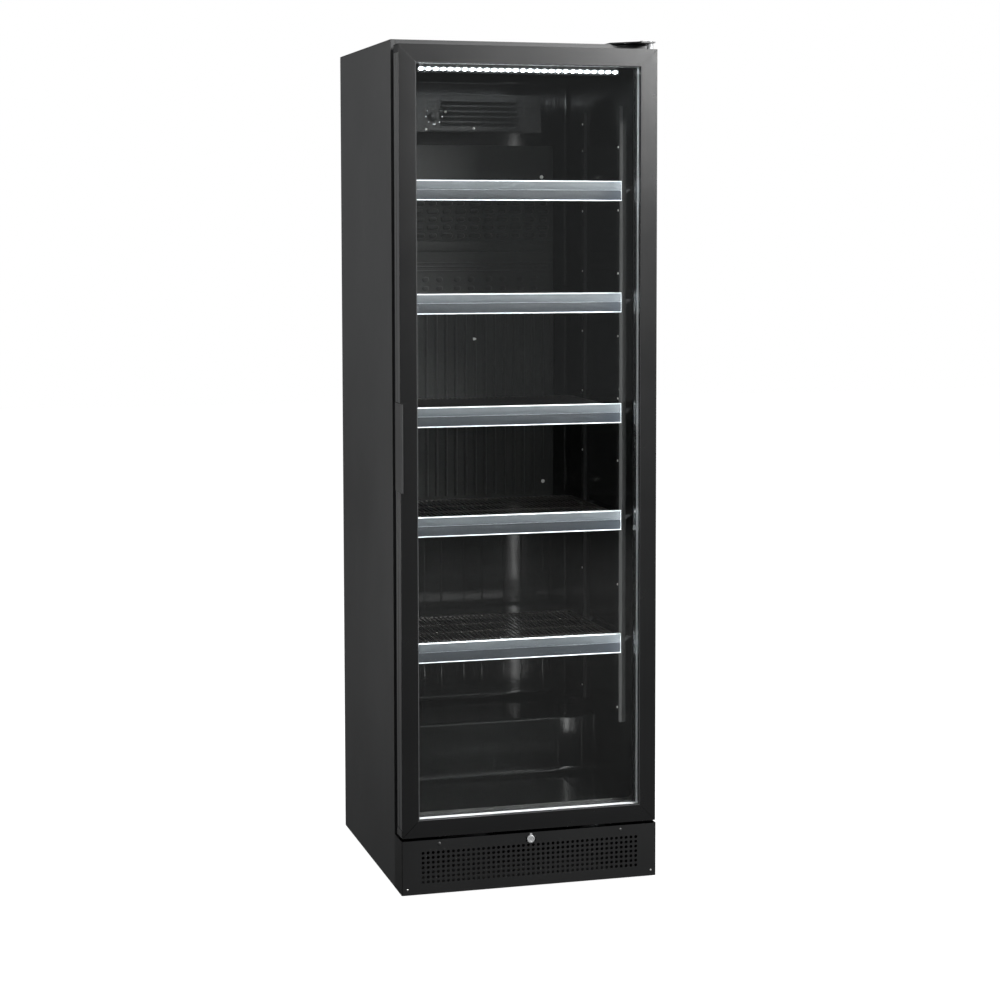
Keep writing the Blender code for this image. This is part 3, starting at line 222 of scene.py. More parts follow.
# ---------------------------------------------------------------- effects that materials share
def new_group(name, inputs):
    """A node group that gives a colour, a roughness and a normal, and its inputs' sockets."""
    group = bpy.data.node_groups.new(name, "ShaderNodeTree")
    for label, kind, value in inputs:
        socket = group.interface.new_socket(label, in_out="INPUT", socket_type="NodeSocket" + kind)
        socket.default_value = value
    for label, kind in (("Colour", "Color"), ("Roughness", "Float"), ("Normal", "Vector")):
        group.interface.new_socket(label, in_out="OUTPUT", socket_type="NodeSocket" + kind)
    return group, add_node(group, "NodeGroupInput").outputs


def noise_node(group, where, scale, detail):
    return add_node(group, "ShaderNodeTexNoise",
                    {"Vector": where, "Scale": scale, "Detail": detail}).outputs["Fac"]


def uneven(group, first, second, share):
    """Two noises blended, above and below nought."""
    blend = math_node(group, "ADD", math_node(group, "MULTIPLY", first, share),
                      math_node(group, "MULTIPLY", second, 1.0 - share))
    return math_node(group, "SUBTRACT", blend, 0.5)


def give_outputs(group, given, offset, smudge, height, depth, edge_wear_and_highlight=0.0):
    """Colour and roughness that follow an offset, with the colour lifted on sharp edges as wear and
    as a painted highlight, and a bump from a height.
    """
    shade = math_node(group, "ADD", math_node(group, "MULTIPLY", offset, given["Shade"]), 1.0)
    tint = add_node(group, "ShaderNodeVectorMath", {
        0: given["Colour"], "Scale": math_node(group, "ADD", shade, edge_wear_and_highlight)}, operation="SCALE")
    rough = math_node(group, "MULTIPLY", offset, smudge)
    bump = add_node(group, "ShaderNodeBump",
                    {"Distance": 0.0002, "Strength": depth, "Height": height})
    add_node(group, "NodeGroupOutput", {
        "Colour": tint.outputs[0], "Roughness": math_node(group, "ADD", given["Roughness"], rough),
        "Normal": bump.outputs[0]})
    return group


def make_coat_effect():
    """Powder coat, enamel and moulded plastic: fine grain, faint smudges, and sharp edges lightened
    partly as wear and partly as a painted highlight.
    """
    group, given = new_group("coat grain", [
        ("Colour", "Color", (0.02, 0.02, 0.02, 1.0)), ("Shade", "Float", 0.12),
        ("Roughness", "Float", 0.4), ("Smudge", "Float", 0.08), ("Grain Scale", "Float", 900.0),
        ("Grain Depth", "Float", 0.15), ("Edge Wear And Highlight", "Float", 0.0)])
    place = add_node(group, "ShaderNodeTexCoord").outputs["Object"]
    offset = uneven(group, noise_node(group, place, 3.2, 3.0),
                    noise_node(group, place, 17.0, 4.0), 0.7)
    # Pointiness lifts the colour on sharp edges: partly wear, partly a painted highlight line along
    # the edges.
    edge = add_node(group, "ShaderNodeMapRange", {
        "Value": add_node(group, "ShaderNodeNewGeometry").outputs["Pointiness"],
        "From Min": 0.52, "From Max": 0.62, "To Max": 3.0})
    edge_wear_and_highlight = math_node(group, "MULTIPLY", edge.outputs[0], given["Edge Wear And Highlight"])
    return give_outputs(group, given, offset, given["Smudge"],
                        noise_node(group, place, given["Grain Scale"], 2.0), given["Grain Depth"],
                        edge_wear_and_highlight)


def make_drawn_effect():
    """Lines along one direction, as on rolled sheet, drawn profiles and extruded plastic."""
    group, given = new_group("drawn lines", [
        ("Colour", "Color", (0.5, 0.5, 0.5, 1.0)), ("Stretch", "Vector", (1.0, 400.0, 400.0)),
        ("Shade", "Float", 0.2), ("Roughness", "Float", 0.3), ("Line Depth", "Float", 0.1)])
    place = add_node(group, "ShaderNodeTexCoord").outputs["Object"]
    stretched = add_node(group, "ShaderNodeVectorMath", {0: place, 1: given["Stretch"]},
                         operation="MULTIPLY")
    lines = noise_node(group, stretched.outputs[0], 1.0, 5.0)
    offset = uneven(group, lines, noise_node(group, place, 9.0, 3.0), 0.65)
    return give_outputs(group, given, offset, 0.25, lines, given["Line Depth"])


COAT = make_coat_effect()
DRAWN = make_drawn_effect()


def new_material(name, plain):
    """A material, its node tree and its shader with the plain numbers set."""
    material = bpy.data.materials.new(name)
    material.use_nodes = True
    shader = material.node_tree.nodes["Principled BSDF"]
    for label, value in plain.items():
        shader.inputs[label.replace("_", " ")].default_value = value
    return material, material.node_tree, shader


def use_effect(name, plain, group, values):
    material, tree, shader = new_material(name, plain)
    effect = add_node(tree, "ShaderNodeGroup", values, node_tree=group)
    for given, fed in (("Colour", "Base Color"), ("Roughness", "Roughness"), ("Normal", "Normal")):
        tree.links.new(effect.outputs[given], shader.inputs[fed])
    return material


def coat(name, colour, roughness, shade=0.2, smudge=0.12, grain=900.0, depth=0.15, edge_wear_and_highlight=0.0,
         **plain):
    return use_effect(name, plain, COAT, {
        "Colour": (*colour, 1.0), "Shade": shade, "Roughness": roughness, "Smudge": smudge,
        "Grain Scale": grain, "Grain Depth": depth, "Edge Wear And Highlight": edge_wear_and_highlight})


def drawn(name, colour, roughness, along="X", shade=0.25, depth=0.12, pitch=700.0, **plain):
    stretch = [pitch] * 3
    stretch["XYZ".index(along)] = 1.5
    return use_effect(name, plain, DRAWN, {
        "Colour": (*colour, 1.0), "Stretch": stretch, "Shade": shade, "Roughness": roughness,
        "Line Depth": depth})


def make_glass():
    """Clear pane with a green edge tint; shadows pass through it."""
    material, tree, shader = new_material("clear_glazing", {
        "Base Color": (0.985, 0.995, 0.99, 1.0), "Roughness": 0.0, "IOR": 1.45,
        "Transmission Weight": 1.0, "Specular IOR Level": 0.06})
    place = add_node(tree, "ShaderNodeTexCoord").outputs["Object"]
    smear = add_node(tree, "ShaderNodeTexNoise", {"Scale": 5.0, "Vector": place})
    bump = add_node(tree, "ShaderNodeBump",
                    {"Strength": 0.01, "Distance": 0.0002, "Height": smear.outputs["Fac"]})
    tree.links.new(bump.outputs[0], shader.inputs["Normal"])
    mix = add_node(tree, "ShaderNodeMixShader", {
        "Fac": add_node(tree, "ShaderNodeLightPath").outputs["Is Shadow Ray"],
        1: shader.outputs[0], 2: add_node(tree, "ShaderNodeBsdfTransparent").outputs[0]})
    tree.links.new(mix.outputs[0], tree.nodes["Material Output"].inputs[0])
    return material


def make_glow():
    """Light spots: a cool white glow, a little brighter in patches."""
    material, tree, shader = new_material("cool_white_light", {
        "Base Color": (0.9, 0.95, 1.0, 1.0), "Roughness": 0.3, "Emission Strength": 9.0})
    place = add_node(tree, "ShaderNodeTexCoord").outputs["Object"]
    noise = add_node(tree, "ShaderNodeTexNoise", {"Scale": 60.0, "Vector": place})
    ramp = add_node(tree, "ShaderNodeValToRGB", {"Fac": noise.outputs["Fac"]})
    ramp.color_ramp.elements[0].color = (0.86, 0.93, 1.0, 1.0)
    ramp.color_ramp.elements[1].color = WHITE
    tree.links.new(ramp.outputs["Color"], shader.inputs["Emission Color"])
    return material


# A coat's edge amount lightens its sharp edges: partly wear, partly a painted highlight line.
PAINT = {
    "panel": coat("satin_powder_coat", (0.0205, 0.0208, 0.0212), 0.36, grain=1400.0, depth=0.22,
                  edge_wear_and_highlight=0.5),
    "plinth": coat("satin_plinth_coat", (0.0115, 0.0117, 0.0119), 0.36, grain=1400.0, depth=0.22),
    "door": coat("satin_door_coat", (0.0052, 0.0053, 0.0054), 0.26, grain=1600.0, depth=0.14,
                 edge_wear_and_highlight=0.6),
    # Lighter coat for the door's side faces and the handle's side and lip: painted light, as if
    # light falls on them.
    "edge": coat("edge_coat_painted_light", (0.0185, 0.0187, 0.0190), 0.38, grain=1500.0, depth=0.18,
                 edge_wear_and_highlight=0.8),
    # Lighter coat on the glazing bead: a painted highlight line along the frame's inner edge.
    "bead": coat("bead_painted_highlight", (0.030, 0.0305, 0.031), 0.22, grain=1500.0, depth=0.08, edge_wear_and_highlight=1.0),
    "liner": coat("glossy_liner", (0.0026, 0.0030, 0.0029), 0.12, shade=0.6, smudge=0.10,
                  grain=60.0, depth=0.12),
    "pilaster": coat("gloss_rail_coat", (0.0075, 0.0078, 0.0078), 0.24, grain=1000.0, depth=0.2,
                     edge_wear_and_highlight=0.4),
    "wire": coat("epoxy_wire", (0.017, 0.0155, 0.014), 0.34, grain=500.0, depth=0.3),
    "plate": coat("coated_plate", (0.0040, 0.0044, 0.0042), 0.42, shade=0.5, grain=700.0,
                  depth=0.25, edge_wear_and_highlight=0.5, Specular_IOR_Level=0.18),
    "plastic": coat("dark_moulded_plastic", (0.0060, 0.0063, 0.0063), 0.24, grain=1200.0,
                    depth=0.35, edge_wear_and_highlight=0.4),
    "foot": coat("black_nylon", (0.02, 0.02, 0.02), 0.5, grain=1500.0, depth=0.5),
    "rubber": coat("seal_rubber", (0.012, 0.012, 0.012), 0.62, grain=1800.0, depth=0.4),
    "foam": coat("rigid_foam", (0.62, 0.55, 0.38), 0.85, grain=240.0, depth=0.8),
    "enamel": coat("gloss_enamel", (0.01, 0.01, 0.01), 0.18, grain=260.0, depth=0.35, edge_wear_and_highlight=0.3),
    "hinge": coat("coated_hinge_steel", (0.022, 0.022, 0.022), 0.32, grain=900.0, depth=0.2,
                  edge_wear_and_highlight=1.2, Metallic=0.5),
    "chrome": coat("polished_chrome", (0.74, 0.75, 0.76), 0.22, shade=0.1, smudge=0.08,
                   grain=300.0, depth=0.05, Metallic=0.55),
    "screw": coat("plated_screw", (0.62, 0.62, 0.60), 0.30, shade=0.3, smudge=0.2, grain=2500.0,
                  depth=0.2, Metallic=0.6),
    "dark_screw": coat("blackened_screw", (0.05, 0.05, 0.05), 0.35, grain=2500.0, depth=0.2,
                       edge_wear_and_highlight=1.0, Metallic=0.7),
    "zinc": drawn("zinc_plate", (0.30, 0.31, 0.32), 0.48, along="X", shade=0.35, pitch=260.0,
                  Metallic=1.0),
    "spacer": drawn("mill_aluminium", (0.78, 0.79, 0.81), 0.34, along="Z", Metallic=0.6),
    "copper": drawn("drawn_copper", (0.66, 0.30, 0.17), 0.28, along="Z", shade=0.4, pitch=300.0,
                    Metallic=1.0),
    "strip": drawn("silver_strip", (0.016, 0.019, 0.023), 0.42, along="X", shade=0.35, pitch=900.0,
                   Specular_IOR_Level=0.22),
    "strip_upper": drawn("pale_label_band", (0.054, 0.061, 0.067), 0.40, along="X", shade=0.3,
                         pitch=900.0, Specular_IOR_Level=0.22),
    "strip_edge": drawn("bright_strip_edge", (0.82, 0.86, 0.90), 0.3, along="X", shade=0.12,
                        pitch=900.0),
    # Near-black discs for the spacer's holes: painted shade inside the holes.
    "hole": coat("hole_painted_shade", (0.004, 0.004, 0.004), 0.7, grain=2000.0),
    "glass": make_glass(),
    "light": make_glow(),
}


# ---------------------------------------------------------------- mesh helpers
def add_piece(name, shape, paint):
    """An object from a bmesh, with its material."""
    data = bpy.data.meshes.new(name)
    shape.to_mesh(data)
    shape.free()
    data.materials.append(PAINT[paint])
    return put_in_scene(name, data)


def solid(name, paint, *parts):
    """An object from closed solids; each part is a maker with what it is given."""
    shape = bmesh.new()
    for maker, *given in parts:
        maker(shape, *given)
    return add_piece(name, shape, paint)


def plain_result(obj):
    graph = bpy.context.evaluated_depsgraph_get()
    return bpy.data.meshes.new_from_object(obj.evaluated_get(graph), depsgraph=graph)


def settle(obj):
    """The modifiers' result becomes the object's plain mesh."""
    data = plain_result(obj)
    data.name = obj.name
    obj.modifiers.clear()
    obj.data = data
    return obj


def taken_shape(obj):
    """An object's mesh as a bmesh to work on; the object goes."""
    shape = bmesh.new()
    shape.from_mesh(obj.data)
    bpy.data.objects.remove(obj)
    return shape


def place_piece(obj, body, slot, *nodes):
    """The piece's body and the CAD nodes it stands for, which are hidden; the finish slot is not
    used.
    """
    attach(obj, body)
    if nodes:
        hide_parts(*nodes)
    return obj


def finish_piece(obj, body, slot, *nodes, sharp=40.0):
    """Smooth shading up to an angle, then the piece's place."""
    obj.data.shade_smooth()
    obj.data.set_sharp_from_angle(angle=math.radians(sharp))
    return place_piece(obj, body, slot, *nodes)


def soften(obj, width, segments=2, angle=30.0):
    """Rounded edges whose flat neighbours keep their shading."""
    bevel = obj.modifiers.new("soft edges", "BEVEL")
    bevel.width = width
    bevel.segments = segments
    bevel.limit_method = "ANGLE"
    bevel.angle_limit = math.radians(angle)
    bevel.harden_normals = False
    obj.data.shade_smooth()
    obj.modifiers.new("flat faces", "WEIGHTED_NORMAL").keep_sharp = False
    return settle(obj)


def sheet_metal(name, shape, paint, outwards):
    """An open skin, its faces turned outwards and thickened inwards."""
    bmesh.ops.remove_doubles(shape, verts=shape.verts, dist=2 * WELD)
    bmesh.ops.recalc_face_normals(shape, faces=shape.faces)
    if sum(face.normal.dot(outwards) * face.calc_area() for face in shape.faces) < 0:
        bmesh.ops.reverse_faces(shape, faces=shape.faces)
    obj = add_piece(name, shape, paint)
    wall = obj.modifiers.new("sheet", "SOLIDIFY")
    wall.thickness = SHEET_METAL
    wall.offset = -1.0
    return settle(obj)


def carve(obj, cutter, operation="DIFFERENCE"):
    """Boolean with a cutter that is then removed."""
    knife = obj.modifiers.new("carve", "BOOLEAN")
    knife.operation = operation
    knife.solver = "EXACT"
    knife.object = cutter
    settle(obj)
    bpy.data.objects.remove(cutter)
    return obj


def cad_copy(name, node, paint):
    """A copy of a CAD node, its loose triangles merged."""
    shape = bmesh.new()
    shape.from_mesh(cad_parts[node].data)
    bmesh.ops.remove_doubles(shape, verts=shape.verts, dist=WELD)
    bmesh.ops.dissolve_limit(shape, angle_limit=math.radians(0.5), verts=shape.verts,
                             edges=shape.edges)
    return add_piece(name, shape, paint)


def refined(name, node, paint, slot, body, width=0.0006, segments=2):
    """A CAD shape with rounded edges that stands for its node."""
    return place_piece(soften(cad_copy(name, node, paint), width, segments), body, slot, node)


def on_axis(axis, along, first, second):
    """A place from its distance along an axis and its other two numbers in order."""
    return {"X": (along, first, second), "Y": (first, along, second),
            "Z": (first, second, along)}[axis]


def join_rings(shape, near, far):
    """Four-sided faces between two rings with as many corners."""
    return [shape.faces.new((near[after], near[index], far[index], far[after]))
            for index, after in enumerate((*range(1, len(near)), 0))]


def prism(shape, outline, axis, span):
    """Closed solid with an outline across an axis."""
    rings = [[shape.verts.new(on_axis(axis, along, *pair)) for pair in outline] for along in span]
    faces = [shape.faces.new(rings[0]), shape.faces.new(list(reversed(rings[1])))]
    bmesh.ops.recalc_face_normals(shape, faces=faces + join_rings(shape, *rings))


def slab(shape, x, y, z):
    prism(shape, [(x[0], y[0]), (x[1], y[0]), (x[1], y[1]), (x[0], y[1])], "Z", z)


def circle(centre, radius, count):
    return [(centre[0] + radius * math.cos(2 * math.pi * k / count),
             centre[1] + radius * math.sin(2 * math.pi * k / count)) for k in range(count)]


def bulge(middle, half, base, rise, steps=8):
    """A low hump's outline: pairs across its middle and up from its base."""
    return [(middle - half * math.cos(math.pi * k / steps),
             base + rise * math.sin(math.pi * k / steps)) for k in range(steps + 1)]


def rounded_rect(half_x, half_y, radius, steps=4, centre=(0.0, 0.0)):
    points = []
    for quarter, (sx, sy) in enumerate(((1, 1), (-1, 1), (-1, -1), (1, -1))):
        for step in range(steps + 1):
            angle = math.pi / 2 * (quarter + step / steps)
            points.append((centre[0] + sx * (half_x - radius) + radius * math.cos(angle),
                           centre[1] + sy * (half_y - radius) + radius * math.sin(angle)))
    return points


def lathe(shape, profile, place, axis="Y", steps=32):
    """Closed turned solid: profile pairs are radius and distance along the axis from place."""
    rings = []
    for radius, along in profile:
        pairs = [(0.0, 0.0)] if radius < WELD else circle((0.0, 0.0), radius, steps)
        rings.append([shape.verts.new(Vector(place) + Vector(on_axis(axis, along, *pair)))
                      for pair in pairs])
    closed = profile[0][0] > WELD and profile[-1][0] > WELD
    faces = []
    for near, far in zip(rings, rings[1:] + rings[:1] * closed):
        for step in range(steps):
            after = (step + 1) % steps
            ring = [near[step % len(near)], near[after % len(near)], far[after % len(far)],
                    far[step % len(far)]]
            ring = list(dict.fromkeys(ring))
            if len(ring) > 2:
                faces.append(shape.faces.new(ring))
    bmesh.ops.recalc_face_normals(shape, faces=faces)


def framed(shape, profile, half, low, high):
    """A profile (distance in from the edges, y) carried round a rectangle with mitred corners."""
    corners = ((-1, low, 1), (1, low, 1), (1, high, -1), (-1, high, -1))
    rings = [[shape.verts.new((side * (half - inset), y, edge + up * inset))
              for inset, y in profile] for side, edge, up in corners]
    faces = []
    for ring, after in zip(rings, rings[1:] + rings[:1]):
        for index in range(len(profile)):
            other = (index + 1) % len(profile)
            faces.append(shape.faces.new((ring[index], ring[other], after[other], after[index])))
    bmesh.ops.recalc_face_normals(shape, faces=faces)


def route_tube(name, route, radius, paint, closed=False, sides=3):
    """Round wire along a route, as a plain mesh."""
    curve = bpy.data.curves.new(name, "CURVE")
    curve.dimensions = "3D"
    curve.bevel_depth = radius
    curve.bevel_resolution = sides
    curve.use_fill_caps = True
    spline = curve.splines.new("POLY")
    spline.points.add(len(route) - 1)
    for point, place in zip(spline.points, route):
        point.co = (*place, 1.0)
    spline.use_cyclic_u = closed
    source = put_in_scene(name + "_route", curve)
    shape = bmesh.new()
    shape.from_mesh(plain_result(source))
    bpy.data.objects.remove(source)
    bmesh.ops.remove_doubles(shape, verts=shape.verts, dist=WELD)
    bmesh.ops.recalc_face_normals(shape, faces=shape.faces)
    return add_piece(name, shape, paint)


# ---------------------------------------------------------------- geometry node trees
def new_tree(name, inputs):
    tree = bpy.data.node_groups.new(name, "GeometryNodeTree")
    for label, way, kind in (("Geometry", "INPUT", "Geometry"),
                             *((label, "INPUT", kind) for label, kind in inputs),
                             ("Geometry", "OUTPUT", "Geometry")):
        tree.interface.new_socket(label, in_out=way, socket_type="NodeSocket" + kind)
    return tree, add_node(tree, "NodeGroupInput").outputs


def put_on_points(tree, points, unit, **turn):
    """Realized copies of a unit shape on points."""
    copies = add_node(tree, "GeometryNodeInstanceOnPoints",
                      {"Points": points, "Instance": unit, **turn})
    return add_node(tree, "GeometryNodeRealizeInstances", {0: copies.outputs[0]}).outputs[0]


def paint_last(tree, geometry, paint):
    cover = add_node(tree, "GeometryNodeSetMaterial", {"Geometry": geometry, "Material": paint})
    add_node(tree, "NodeGroupOutput", {"Geometry": cover.outputs[0]})
    return tree


def make_repeat_tree():
    """A unit shape in columns and rows: holes, slots, wires, lamps, ribs and embosses."""
    tree, given = new_tree("columns and rows", [
        ("Columns", "Int"), ("Column Step", "Vector"), ("Rows", "Int"), ("Row Step", "Vector"),
        ("Material", "Material")])
    geometry = given["Geometry"]
    for count, step in (("Columns", "Column Step"), ("Rows", "Row Step")):
        line = add_node(tree, "GeometryNodeMeshLine",
                        {"Count": given[count], "Offset": given[step]}, mode="OFFSET")
        geometry = put_on_points(tree, line.outputs[0], geometry)
    return paint_last(tree, geometry, given["Material"])


def make_screw_tree():
    """Pan heads with a cross recess on an object's points."""
    tree, given = new_tree("screws on points", [
        ("Radius", "Float"), ("Height", "Float"), ("Turn", "Rotation"), ("Material", "Material")])
    ball = add_node(tree, "GeometryNodeMeshUVSphere", {"Segments": 16, "Rings": 8, "Radius": 1.0})
    cross = add_node(tree, "GeometryNodeJoinGeometry")
    for size in ((1.1, 0.24, 0.9), (0.24, 1.1, 0.9)):
        bar = add_node(tree, "GeometryNodeMeshCube", {"Size": size})
        lift = add_node(tree, "GeometryNodeTransform",
                        {"Translation": (0.0, 0.0, 0.95), "Geometry": bar.outputs[0]})
        tree.links.new(lift.outputs[0], cross.inputs[0])
    recess = add_node(tree, "GeometryNodeMeshBoolean",
                      {"Mesh 1": ball.outputs[0], "Mesh 2": cross.outputs[0]},
                      operation="DIFFERENCE")
    size = add_node(tree, "ShaderNodeCombineXYZ",
                    {"X": given["Radius"], "Y": given["Radius"], "Z": given["Height"]})
    fitted = add_node(tree, "GeometryNodeTransform",
                      {"Geometry": recess.outputs[0], "Scale": size.outputs[0]})
    heads = put_on_points(tree, given["Geometry"], fitted.outputs[0], Rotation=given["Turn"])
    return paint_last(tree, heads, given["Material"])


REPEAT = make_repeat_tree()
SCREWS = make_screw_tree()


def run_tree(obj, tree, values):
    """Run a tree on an object with its inputs set by name, and keep the plain result."""
    known = {item.name: item.identifier for item in tree.interface.items_tree
             if item.in_out == "INPUT"}
    modifier = obj.modifiers.new(tree.name, "NODES")
    modifier.node_group = tree
    for label, value in values.items():
        modifier[known[label]] = value
    return settle(obj)


def repeated(obj, paint, columns, column_step, rows=1, row_step=(0.0, 0.0, 0.0)):
    return run_tree(obj, REPEAT, {
        "Columns": columns, "Column Step": column_step, "Rows": rows, "Row Step": row_step,
        "Material": PAINT[paint]})


FACING = {
    "front": (math.pi / 2, 0.0, 0.0),
    "back": (-math.pi / 2, 0.0, 0.0),
    "left": (0.0, -math.pi / 2, 0.0),
    "right": (0.0, math.pi / 2, 0.0),
    "up": (0.0, 0.0, 0.0),
}


def screws(name, body, slot, places, facing, radius=SCREW_RADIUS, paint="screw", height=0.42):
    """Screw heads at places, half sunk, on one body."""
    data = bpy.data.meshes.new(name)
    data.from_pydata(places, [], [])
    obj = put_in_scene(name, data)
    run_tree(obj, SCREWS, {"Radius": radius, "Height": radius * height,
                           "Turn": FACING[facing], "Material": PAINT[paint]})
    return finish_piece(obj, body, slot, sharp=50.0)


def merged(name, *pieces):
    """One piece from several that share a material."""
    shape = bmesh.new()
    for piece in pieces:
        shape.from_mesh(piece.data)
    first, *others = pieces
    shape.to_mesh(first.data)
    shape.free()
    for piece in others:
        bpy.data.objects.remove(piece)
    first.name = name
    return first


# ---------------------------------------------------------------- cabinet skins
def make_cabinet_skins():
    for name, node, width, segments in (("cabinet_side_left", "side_panel_left", 0.0005, 2),
                                        ("cabinet_side_right", "side_panel_right", 0.0005, 2),
                                        ("cabinet_top", "top_panel", 0.0005, 2),
                                        ("cabinet_back", "back_panel", 0.0004, 2),
                                        ("rear_vent_panel", "rear_grille", 0.0003, 1)):
        refined(name, node, "panel", "panel_paint", "cabinet", width, segments)
    low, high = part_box("front_frame")
    floor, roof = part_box("inner_liner")
    plate = solid("mouth_plate", "panel",
                  (slab, (low.x, high.x), (low.y, high.y), (low.z, high.z)))
    mouth = rounded_rect(roof.x + THIN, (roof.z - floor.z) / 2 + THIN,
                         LINER_EDGE_RADIUS + LINER_WALL, 6, (0.0, (floor.z + roof.z) / 2))
    carve(plate, solid("mouth", "panel", (prism, mouth, "Y", (low.y - 0.01, high.y + 0.01))))
    soften(plate, 0.0006)
    finish_piece(plate, "cabinet", "panel_paint", "front_frame", sharp=80.0)
    low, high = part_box("back_panel")
    deep = high.y - 0.0008
    rise = [low.z + 0.03 + (high.z - low.z - 0.06) * step / 5 for step in range(6)]
    places = [(side * (high.x - 0.012), deep, z) for z in rise for side in (-1, 1)]
    places += [(0.0, deep, rise[0]), (0.0, deep, rise[-1])]
    screws("back_screws", "cabinet", "panel_paint", places, "back", 0.0044, "dark_screw", 0.18)
    low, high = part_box("rear_grille")
    places = [(side * (high.x - 0.012), high.y, z) for side in (-1, 1)
              for z in (low.z + 0.02, high.z - 0.02)]
    screws("vent_screws", "cabinet", "panel_paint", places, "back", 0.0036, "screw")


def make_plinth():
    """Punched front sheet with folded side returns."""
    low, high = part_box("plinth_grille")
    front = low.y
    pitch_x = 2 * PLINTH_HOLES_X / (PLINTH_COLUMNS - 1)
    pitch_z = (PLINTH_HOLES_Z[1] - PLINTH_HOLES_Z[0]) / (PLINTH_ROWS - 1)
    start_x = -PLINTH_HOLES_X - pitch_x / 2
    start_z = PLINTH_HOLES_Z[0] - pitch_z / 2
    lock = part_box("lock_barrel")
    lock_z = (lock[0].z + lock[1].z) / 2
    lock_low, lock_high = lock_z - LOCK_HOLE_ROOM, lock_z + LOCK_HOLE_ROOM

    tile = bmesh.new()
    middle = (start_x + pitch_x / 2, start_z + pitch_z / 2)
    ring = [tile.verts.new((x, front, z)) for x, z in circle(middle, PLINTH_HOLE_RADIUS, 16)]
    corner = {(sx, sz): tile.verts.new((middle[0] + sx * pitch_x / 2, front,
                                        middle[1] + sz * pitch_z / 2))
              for sx in (-1, 1) for sz in (-1, 1)}
    around = [(1, 1), (-1, 1), (-1, -1), (1, -1)]
    for index, place in enumerate(around):
        part = [ring[(index * 4 - 2 + step) % 16] for step in range(5)]
        tile.faces.new([corner[around[index - 1]], *part, corner[place]])
    shape = taken_shape(repeated(add_piece("plinth_tile", tile, "plinth"), "plinth",
                                 PLINTH_COLUMNS, (pitch_x, 0.0, 0.0),
                                 PLINTH_ROWS, (0.0, 0.0, pitch_z)))

    def face_between(first, second, z0, z1):
        shape.faces.new([shape.verts.new(place) for place in
                         ((*first, z0), (*second, z0), (*second, z1), (*first, z1))])

    def quads(across, heights):
        for x0, x1 in zip(across, across[1:]):
            for z0, z1 in zip(heights, heights[1:]):
                face_between((x0, front), (x1, front), z0, z1)

    columns = [start_x + pitch_x * k for k in range(PLINTH_COLUMNS + 1)]
    rows = [start_z + pitch_z * k for k in range(PLINTH_ROWS + 1)]
    west = [x for x in columns if x < -LOCK_HOLE_SIDES]
    east = [x for x in columns if x > LOCK_HOLE_SIDES]
    quads(columns, (low.z, start_z))
    quads(columns, (start_z + pitch_z * PLINTH_ROWS, lock_low))
    quads(columns, (lock_high, high.z))
    quads(west, (lock_low, lock_high))
    quads(east, (lock_low, lock_high))
    hole = circle((0.0, lock_z), LOCK_HOLE, 24)
    between = [x for x in columns if west[-1] <= x <= east[0]]
    for half_hole, edge in ((hole[0:13], [(x, lock_high) for x in between]),
                            (hole[12:24] + hole[:1], [(x, lock_low) for x in reversed(between)])):
        shape.faces.new([shape.verts.new((x, front, z)) for x, z in half_hole + edge])
    edges = [low.z, *rows, lock_low, lock_high, high.z]
    radius = PLINTH_RETURN_RADIUS
    quads((low.x + radius, columns[0]), edges)
    quads((columns[-1], high.x - radius), edges)
    for side in (-1, 1):
        path = [(side * (high.x - radius + radius * math.sin(math.radians(a))),
                 front + radius - radius * math.cos(math.radians(a))) for a in range(0, 91, 15)]
        path.append((side * high.x, high.y))
        for first, second in zip(path, path[1:]):
            for z0, z1 in zip(edges, edges[1:]):
                face_between(first, second, z0, z1)
    plinth = sheet_metal("plinth", shape, "plinth", Vector((0.0, -1.0, 0.0)))
    finish_piece(plinth, "cabinet", "panel_paint", "plinth_grille", sharp=35.0)
    for name, (x, z), radius, paint in (
            ("plinth_top_screws", PLINTH_TOP_SCREWS, 0.0040, "dark_screw"),
            ("plinth_low_screws", PLINTH_LOW_SCREWS, 0.0022, "screw")):
        screws(name, "cabinet", "panel_paint", [(side * x, front, z) for side in (-1, 1)], "front",
               radius, paint, 0.4)


def make_lock():
    low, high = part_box("lock_barrel")
    middle = (0.0, low.y, (low.z + high.z) / 2)
    outer = (high.x - low.x) / 2
    depth = high.y - low.y
    ring = [(LOCK_BORE, 0.0006), (LOCK_BORE + 0.0006, 0.0), (outer - 0.0016, 0.0),
            (outer - 0.0004, 0.0005), (outer, 0.0014), (outer, 0.0017), (0.007, 0.0017),
            (0.007, depth), (LOCK_BORE, depth)]
    top = middle[2] + outer
    tab = [(-0.0032, top - 0.002), (0.0032, top - 0.002), (0.0030, top + 0.0030),
           (0.0018, top + 0.0042), (-0.0018, top + 0.0042), (-0.0030, top + 0.0030)]
    barrel = solid("lock_body", "chrome", (lathe, ring, middle, "Y", 40),
                   (prism, tab, "Y", (low.y + 0.0004, low.y + 0.0016)))
    finish_piece(barrel, "cabinet", "chrome", "lock_barrel", sharp=30.0)
    refined("lock_key_plug", "lock_plug", "chrome", "chrome", "lock", 0.00025)


